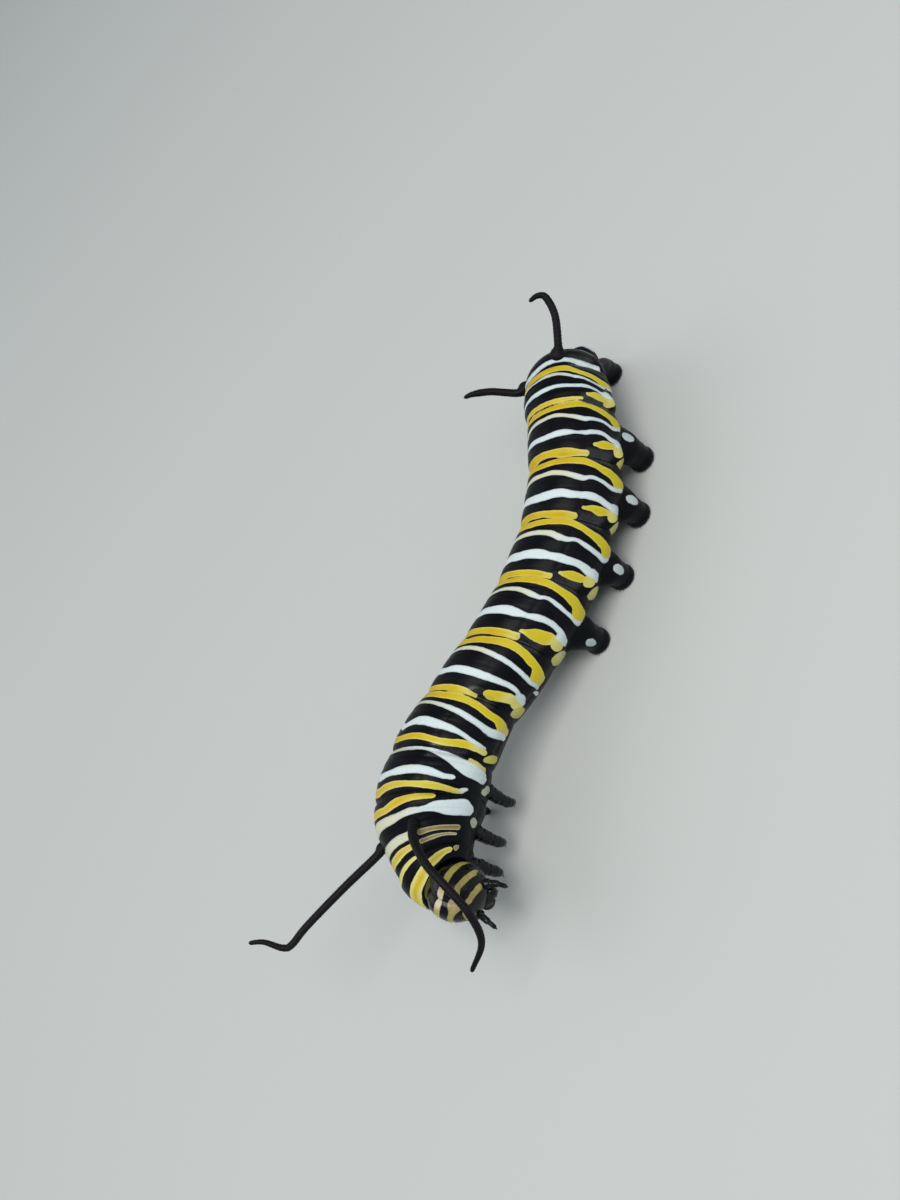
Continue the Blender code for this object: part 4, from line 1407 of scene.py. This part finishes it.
@dataclass
class Head:
    """The head capsule with its eyes, feelers and mouth parts.

    Places in it are steps to the left, up and ahead from its middle.
    """

    reach: float = 0.9
    half: Triple = (1.53, 1.70, 1.45)
    shift: float = 0.10
    floor: float = -0.95
    outer_half: float = 0.19
    outer_arch: tuple[Triple, ...] = (
        (0.0, 1.62, 0.42), (0.55, 1.62, 0.40), (1.0, 1.38, 0.28), (1.36, 0.9, 0.05), (1.6, 0.2, -0.2),
        (1.5, -0.7, -0.42),
    )
    inner_half: float = 0.155
    inner_arch: tuple[Triple, ...] = (
        (0.0, 1.05, 1.12), (0.5, 1.1, 1.05), (0.92, 0.98, 0.88), (1.3, 0.4, 0.75), (1.5, -0.5, 0.5),
    )
    frons: tuple[Triple, ...] = (
        (0.34, 0.46, 1.34), (0.62, 0.26, 1.30), (0.84, -0.08, 1.18), (0.88, -0.24, 1.12),
    )
    frons_half: float = 0.185
    crown_half: float = 0.40
    suture: tuple[Triple, ...] = ((0.0, 0.72, 0.70), (0.24, 0.25, 0.93), (0.52, -0.45, 0.76))
    eyes: tuple[Triple, ...] = (
        (-0.20, 0.26, 0.085), (0.02, 0.34, 0.085), (0.23, 0.25, 0.085),
        (0.33, 0.04, 0.085), (0.27, -0.20, 0.075), (-0.06, -0.02, 0.09),
    )
    eye_middle: Triple = (0.80, -0.40, 0.52)
    ring_ends: tuple[float, ...] = (0.0, 0.30, 0.34, 0.60, 0.64, 0.90, 0.93, 1.0)
    ring_radii: tuple[float, ...] = (0.30, 0.26, 0.19, 0.18, 0.13, 0.12, 0.06, 0.045)

    def __post_init__(self) -> None:
        """Finds the middle of the head and its ways left, up and ahead."""
        neck = np.array(0.0)
        self.ahead, self.left, self.up = SPINE.axes(neck)
        self.middle = SPINE.centre(neck) + self.reach * self.ahead + self.shift * self.left

    def place(self, steps: Array) -> Array:
        """Points from steps to the left, up and ahead."""
        steps = np.asarray(steps, float)
        return self.middle + steps @ np.stack([self.left, self.up, self.ahead])

    def surface(self, way: Array) -> Array:
        """Steps to the capsule's surface along directions out of its middle."""
        side, up = way[:, 0], way[:, 1]
        folded = np.stack([np.abs(side), up, way[:, 2]], -1)
        size = 1.0 + 0.045 * bump(np.abs(side), 0.62, 0.3) * smooth(up, -0.4, 0.5)
        size -= 0.085 * bump(side, 0.0, 0.15) * smooth(up, 0.2, 0.95)
        size -= 0.02 * bump(side, 0.0, 0.022) * smooth(up, 0.1, 0.5)
        size -= 0.022 * bump(route_distance(folded, self.suture), 0.0, 0.028)
        points = way * np.array(self.half) * size[:, None]
        under = points[:, 1] - self.floor
        drop = 0.4 * (1.0 - np.exp(np.minimum(under, 0.0) / 0.4))
        points[:, 1] = np.where(under < 0.0, self.floor - drop, points[:, 1])
        return points

    def build(self, shell: Material, parts: Material) -> Piece:
        """Makes the head.

        Args:
            shell: The capsule's finish.
            parts: The finish of the mouth parts and eyes.

        Returns:
            The capsule.
        """
        capsule = ovoid("head", 72, lambda way: self.place(self.surface(way)))
        self.store(capsule)
        finish_piece(capsule, "head", shell, "capsule", ["head"])
        self.build_eyes(parts)
        self.build_mouth(parts)
        self.build_antennae(parts)
        return capsule

    def store(self, capsule: Piece) -> None:
        """Stores the depths inside the arches."""
        steps = (points_of(capsule) / MM - self.middle) @ np.stack([self.left, self.up, self.ahead]).T
        steps[:, 0] = np.abs(steps[:, 0])
        wide = self.inner_half + (self.crown_half - self.inner_half) * bump(steps[:, 0], 0.0, 0.36)
        inner = wide - route_distance(steps, self.inner_arch)
        frons = self.frons_half - route_distance(steps, self.frons)
        add_attribute(capsule, "outer", self.outer_half - route_distance(steps, self.outer_arch))
        add_attribute(capsule, "inner", np.maximum(inner, frons))
        add_attribute(capsule, "middle", 1.0 - smooth(steps[:, 0], 0.25, 0.7))

    def build_eyes(self, material: Material) -> None:
        """Six small shiny domes on each cheek, copied from one ball."""
        first = ovoid("eye", 7, lambda way: way)
        ball, domes = points_of(first), []
        for side in (1.0, -1.0):
            middle = unit(np.array(self.eye_middle) * np.array([side, 1.0, 1.0]))
            across = unit(np.cross(np.array([0.0, 1.0, 0.0]), middle)) * -side
            rise = np.cross(middle, across) * side
            for over, lift, radius in self.eyes:
                way = unit(middle + (over * across - lift * rise) / 1.6)
                centre = self.place(self.surface(way[None])[0] * 0.975)
                domes.append(copy_of(first, radius * ball + centre * MM))
        bpy.data.objects.remove(first)
        finish_piece(join("stemmata", domes), "stemmata", material, "capsule")

    def build_mouth(self, material: Material) -> None:
        """The notched upper lip, the toothed jaws, the lower lip and its feelers."""
        lip = ovoid("labrum", 20, self.labrum)
        finish_piece(lip, "labrum", material, "capsule")
        for name, side in (("left", 1.0), ("right", -1.0)):
            jaw = ovoid("mandible", 22, lambda way, k=side: self.mandible(way, k))
            finish_piece(jaw, f"mandible_{name}", material, "capsule")
        under = ovoid("labium", 16, lambda way: self.place(way * [0.46, 0.36, 0.42] + [0.0, -1.38, 0.42]))
        palps = [under]
        for side, size in ((1.0, 0.10), (-1.0, 0.10), (0.0, 0.07)):
            knots = [(0.3 * side, -1.5, 0.62), (0.33 * side, -1.68, 0.85), (0.3 * side, -1.76, 1.02)]

            def radius(share: Array, size: float = size) -> Array:
                steps = 1.0 - 0.3 * smooth(share, 0.4, 0.46) - 0.3 * smooth(share, 0.7, 0.76)
                return size * 1.3 * steps * np.sqrt(np.clip((1.0 - share) * 8.0, 0.0, 1.0))

            palps.append(limb("palp", [self.place(np.array(knot)) for knot in knots], 6, radius, 24, 12))
        finish_piece(join("labium", palps), "labium", material, "capsule")

    def labrum(self, way: Array) -> Array:
        """The upper lip: a curved plate, notched below."""
        points = np.sign(way) * np.abs(way) ** 0.8 * [0.50, 0.34, 0.16]
        notch = 0.16 * bump(way[:, 0], 0.0, 0.2) * smooth(-way[:, 1], 0.2, 0.9)
        points[:, 1] += notch
        points[:, 2] -= 0.5 * points[:, 0] ** 2
        return self.place(points + [0.0, -1.12, 1.16])

    def mandible(self, way: Array, side: float) -> Array:
        """A jaw: stout above, toothed where it meets the other."""
        points = way * [0.34, 0.36, 0.30]
        edge = smooth(-way[:, 0] * side, 0.1, 0.8) * smooth(-way[:, 1], 0.0, 0.6)
        points[:, 1] -= edge * (0.05 + 0.035 * np.cos(way[:, 2] * 14.0))
        points[:, 0] += side * 0.06 * way[:, 1]
        return self.place(points + [0.33 * side, -1.32, 0.98])

    def build_antennae(self, material: Material) -> None:
        """Two short feelers of three rings each."""
        steps = ((0.74, -0.70, 0.72), (1.02, -1.05, 1.22), (1.14, -1.24, 1.62), (1.22, -1.34, 2.0))
        for name, side in (("antenna_left", 1.0), ("antenna_right", -1.0)):
            knots = [self.place(np.array([side * a, b, c])) for a, b, c in steps]
            feeler = limb(name, knots, 8, self.ring_radius, 80, 20)
            finish_piece(feeler, name, material, "antenna", [name])

    def ring_radius(self, share: Array) -> Array:
        """A feeler's radius at shares of its length."""
        return np.interp(share, self.ring_ends, self.ring_radii)


# Legs

@dataclass
class WalkingLeg:
    """A short shiny leg of four rings with a hooked claw."""

    name: str
    segment: str
    side: int
    stands: bool
    root_angle: float = 150.0
    sink: float = 0.5
    hanging: float = 1.15
    joints: tuple[tuple[float, float, float, float], ...] = (
        (0.0, 0.0, 0.0, 0.42), (0.20, 0.15, 0.5, 0.40), (0.40, 0.30, 1.1, 0.33), (0.45, 0.35, 1.7, 0.28),
        (0.30, 0.25, 2.2, 0.20),
    )
    claw_thickness: float = 0.085
    claw_joints: tuple[Triple, ...] = ((0.0, 0.0, 0.06), (0.16, 0.0, 0.0), (0.30, -0.02, -0.10))

    def build(self, material: Material, horn: Material) -> None:
        """Makes the leg and its claw.

        Args:
            material: The leg's finish.
            horn: The claw's finish.
        """
        place = SPINE.place(self.segment)
        forward, outward = level_ways(place, self.side)
        root = SPINE.skin(np.array(place), np.array(self.side * self.root_angle), -self.sink)
        drop = root[2] / self.joints[-1][2] if self.stands else self.hanging
        down = np.array([0.0, 0.0, -drop])
        knots = [root + a * forward + b * outward + c * down for a, b, c, _ in self.joints]
        route = smooth_route(knots, 10)
        steps = np.linalg.norm(np.diff(route, axis=0), axis=1)
        marks = np.concatenate([[0.0], np.cumsum(steps)])[::10] / steps.sum()

        def radius(share: Array) -> Array:
            size = np.interp(share, marks, [joint[3] for joint in self.joints])
            for mark in marks[1:-1]:
                size = size - 0.055 * bump(share, mark, 0.022) + 0.03 * bump(share, mark - 0.06, 0.05)
            return size * np.sqrt(np.clip((1.0 - share) * 14.0, 0.0, 1.0))

        leg = limb(self.name, knots, 10, radius, 110, 28)
        finish_piece(leg, self.name, material, "leg", [self.name])
        hook = [
            route[-1] + ahead * forward + out * outward + np.array([0.0, 0.0, rise])
            for ahead, out, rise in self.claw_joints
        ]
        claw = limb("claw", hook, 6, lambda share: self.claw_thickness * (1.0 - 0.93 * share), 24, 12)
        finish_piece(claw, self.name.replace("leg", "claw"), horn, "leg")


WALKING_LEGS = tuple(
    WalkingLeg(f"leg_t{n}_{label}", segment, side, label == "right" and n > 1)
    for n, segment in ((1, "prothorax"), (2, "mesothorax"), (3, "metathorax"))
    for label, side in (("left", 1), ("right", -1))
)


@dataclass
class Crochets:
    """The half ring of tiny brown hooks along the inner edge of a fleshy foot."""

    leg: Proleg
    shares: tuple[float, float] = (0.72, 1.0)
    bends: tuple[tuple[float, float], ...] = ((0.6, 0.02), (1.0, -0.05), (0.8, -0.09))
    sink: float = 0.06
    count: int = 24
    radius: float = 0.66
    spread: float = 100.0
    height: float = 0.10
    length: float = 0.17
    thickness: float = 0.022

    def build(self, material: Material) -> None:
        """Makes a long and a short hook and copies them in turn round the foot."""
        stand = LegFrame(self.leg)
        foot = stand.point(np.array([0.0]), np.array([0.0]), np.array([0.0]))[0]
        firsts = [self.hook(self.length * share) for share in self.shares]
        hooks = []
        for k in range(self.count):
            turn = math.radians(-self.spread + 2.0 * self.spread * k / (self.count - 1))
            out = -math.cos(turn) * stand.outward + math.sin(turn) * stand.forward
            across = np.array([-out[1], out[0], 0.0])
            start = foot + self.leg.size * self.radius * out - self.sink * out
            start = start + np.array([0.0, 0.0, self.height])
            first = firsts[k % 2]
            ways = np.stack([out, across, [0.0, 0.0, 1.0]])
            hooks.append(copy_of(first, start * MM + points_of(first) @ ways))
        for first in firsts:
            bpy.data.objects.remove(first)
        name = self.leg.name.replace("proleg", "crochets")
        finish_piece(join(name, hooks), name, material, "proleg")

    def hook(self, size: float) -> Piece:
        """One hook, which runs along +X from the middle and curls down."""
        route = smooth_route([[0.0, 0.0, 0.0]] + [[size * far, 0.0, rise] for far, rise in self.bends], 3)
        total = route_length(route)
        hook = tube("hook", route, lambda way, angle: self.thickness * (1.05 - way / total), 8, 6)
        close_up(hook, 0.0005)
        return hook


@dataclass
class Spiracles:
    """The oval breathing holes along both flanks, each with a raised rim."""

    THICK: ClassVar[float] = 0.25
    segments: tuple[str, ...] = ("prothorax",) + tuple(f"abdomen_{n}" for n in range(1, 9))
    angle: float = 101.0
    share: float = 0.44
    half: tuple[float, float] = (0.06, 0.11)
    rim: float = 0.025
    sink: float = 0.06

    def build(self, material: Material) -> None:
        """Makes one rim and copies it to each hole."""
        first = self.one()
        rim, rims = points_of(first), []
        for name in self.segments:
            for side in (1.0, -1.0):
                s = SPINE.place(name, self.share)
                middle = SPINE.skin(np.array(s), np.array(side * self.angle), -self.sink)
                out = SPINE.outward(s, side * self.angle)
                forward = SPINE.axes(np.array(s))[0]
                ways = np.stack([forward, np.cross(out, forward), out])
                rims.append(copy_of(first, middle * MM + rim @ ways))
        bpy.data.objects.remove(first)
        finish_piece(join("spiracles", rims), "spiracles", material, "skin")

    def one(self) -> Piece:
        """Makes one rim from a ring."""
        deselect()
        bpy.ops.mesh.primitive_torus_add(
            major_segments=28, minor_segments=10, major_radius=1.0, minor_radius=self.THICK
        )
        ring = bpy.context.object
        p = points_of(ring)
        flat = np.hypot(p[:, 0], p[:, 1])[:, None]
        thick = (flat - 1.0) / self.THICK * self.rim
        way = p[:, :2] / flat * (np.array(self.half) + thick)
        move_points(ring, np.hstack([way, p[:, 2:] / self.THICK * self.rim]) * MM)
        close_up(ring, 0.0005)
        return ring


@dataclass
class Hairs:
    """Short fine hairs, each a slim cone, spread over part of a piece."""

    name: str
    slot: str
    count: int
    length: float = 0.20
    thickness: float = 0.009
    spread: float = 0.618
    rise: float = 0.4
    tilt: float = 0.35

    def build(self, piece: Piece, keep: Array, material: Material) -> None:
        """Makes one hair and copies it to roots on the piece.

        Args:
            piece: What the hairs grow on.
            keep: Which of its vertices may be roots.
            material: The hairs' finish.
        """
        normals = np.empty(len(piece.data.vertices) * 3)
        piece.data.vertices.foreach_get("normal", normals)
        order = np.arange(self.count)
        chosen = np.flatnonzero(keep)
        chosen = chosen[(order * self.spread % 1.0 * len(chosen)).astype(int)]
        roots, ways = points_of(piece)[chosen], normals.reshape(-1, 3)[chosen]
        deselect()
        bpy.ops.mesh.primitive_cone_add(vertices=5, radius1=self.thickness * MM, depth=self.length * MM)
        first = bpy.context.object
        shape = points_of(first) + [0.0, 0.0, self.rise * self.length * MM]
        hairs = []
        for k, (root, way) in enumerate(zip(roots, ways)):
            lean = Vector(way + self.tilt * np.array([math.sin(5.0 * k), math.cos(3.0 * k), -0.6]))
            turn = np.array(lean.to_track_quat("Z", "Y").to_matrix())
            size = 0.7 + 0.6 * math.sin(2.4 * k) ** 2
            hairs.append(copy_of(first, root + (shape * [1.0, 1.0, size]) @ turn.T))
            lift_to_floor(hairs[-1])
        bpy.data.objects.remove(first)
        finish_piece(join(self.name, hairs), self.name, material, self.slot)


# Studio

@dataclass
class Studio:
    """The floor, the soft lights and the camera."""

    camera_place: Triple = (46.39, -10.09, 51.55)
    view: Triple = (-0.7224, 0.1730, -0.6695)
    right: Triple = (0.6866, 0.2942, -0.6648)
    lens: float = 36.0
    floor_tone: str = "BEC1BE"
    sky: tuple[float, ...] = (0.86, 0.92, 1.0, 1.0)
    sky_strength: float = 0.36
    lamps: tuple[tuple[str, Triple, float, float, Triple], ...] = (
        ("key", (0.10, -0.02, 0.26), 0.16, 0.58, (1.0, 0.98, 0.95)),
        ("fill", (0.24, 0.12, 0.12), 0.22, 0.12, (0.86, 0.93, 1.0)),
        ("back", (-0.20, -0.06, 0.18), 0.20, 0.16, (0.95, 0.97, 1.0)),
    )

    def build(self) -> None:
        """Sets the whole studio, with its colours shown as they are."""
        bpy.context.scene.view_settings.view_transform = "Standard"
        self.floor()
        self.lights()
        self.camera()

    def floor(self) -> None:
        """A plain pale floor."""
        deselect()
        bpy.ops.mesh.primitive_plane_add(size=2.0, location=(0.0, 0.0, 0.0))
        floor = bpy.context.object
        floor.name = "studio_floor"
        book = NodeBook("studio_floor")
        book.set(Base_Color=colour(self.floor_tone), Roughness=0.75)
        floor.data.materials.append(book.material)

    def lights(self) -> None:
        """A soft sky and three square lights: a broad key, a weak fill and one behind."""
        world = bpy.data.worlds.new("studio")
        bpy.context.scene.world = world
        world.use_nodes = True
        background = world.node_tree.nodes["Background"]
        background.inputs["Color"].default_value = self.sky
        background.inputs["Strength"].default_value = self.sky_strength
        for lamp in self.lamps:
            self.area(*lamp)

    def area(self, name: str, place: Triple, size: float, power: float, tone: Triple) -> None:
        """Adds a square light that looks at the model.

        Args:
            name: The light's name.
            place: Where it hangs, in metres.
            size: Its side, in metres.
            power: Its power in watts.
            tone: Its colour.
        """
        light = bpy.data.lights.new(name, "AREA")
        light.size = size
        light.energy = power
        light.color = tone
        obj = bpy.data.objects.new(name, light)
        obj.location = place
        obj.rotation_euler = Vector(place).to_track_quat("Z", "Y").to_euler()
        bpy.context.scene.collection.objects.link(obj)

    def camera(self) -> None:
        """Sets the camera where the photograph was taken from."""
        ahead = Vector(self.view).normalized()
        right = Vector(self.right)
        right = (right - ahead * right.dot(ahead)).normalized()
        up = right.cross(ahead)
        data = bpy.data.cameras.new("camera")
        data.lens = self.lens
        data.sensor_fit = "VERTICAL"
        data.sensor_height = 36.0
        data.clip_start = 0.001
        camera = bpy.data.objects.new("camera", data)
        turn = Matrix((right, up, -ahead)).transposed().to_4x4()
        camera.matrix_world = Matrix.Translation(Vector(self.camera_place) * MM) @ turn
        bpy.context.scene.collection.objects.link(camera)
        bpy.context.scene.camera = camera


# How far ahead of the head's middle its hairs begin, and how far down a leg those of a foot grow
FACE_FROM = -0.4
FOOT_FROM, FOOT_TO = 0.5, 0.78


def main() -> None:
    """Builds every piece in order."""
    logging.basicConfig(level=logging.INFO, format="%(name)s: %(message)s")
    Studio().build()
    skin = Skin().build(SkinFinish().make())
    shell = ShellFinish().make()
    horn = ShellFinish("horn", "1A100A", "3A2415", 0.25, 7000.0).make()
    hair = ShellFinish("hair", "16110E", "2A2019", 0.4, 7000.0).make()
    head = Head()
    capsule = head.build(HeadFinish().make(), shell)
    ahead = (points_of(capsule) / MM - head.middle) @ head.ahead
    Hairs("head_hairs", "capsule", 110).build(capsule, ahead > FACE_FROM, hair)
    down = read_attribute(skin, "down")
    Hairs("foot_hairs", "proleg", 200, 0.16).build(skin, (down > FOOT_FROM) & (down < FOOT_TO), hair)
    for leg in WALKING_LEGS:
        leg.build(shell, horn)
    for proleg in PROLEGS:
        Crochets(proleg).build(horn)
    Spiracles().build(shell)
    filament_skin = FilamentFinish().make()
    for filament in FILAMENTS:
        filament.build(filament_skin)


if __name__ == "__main__":
    main()
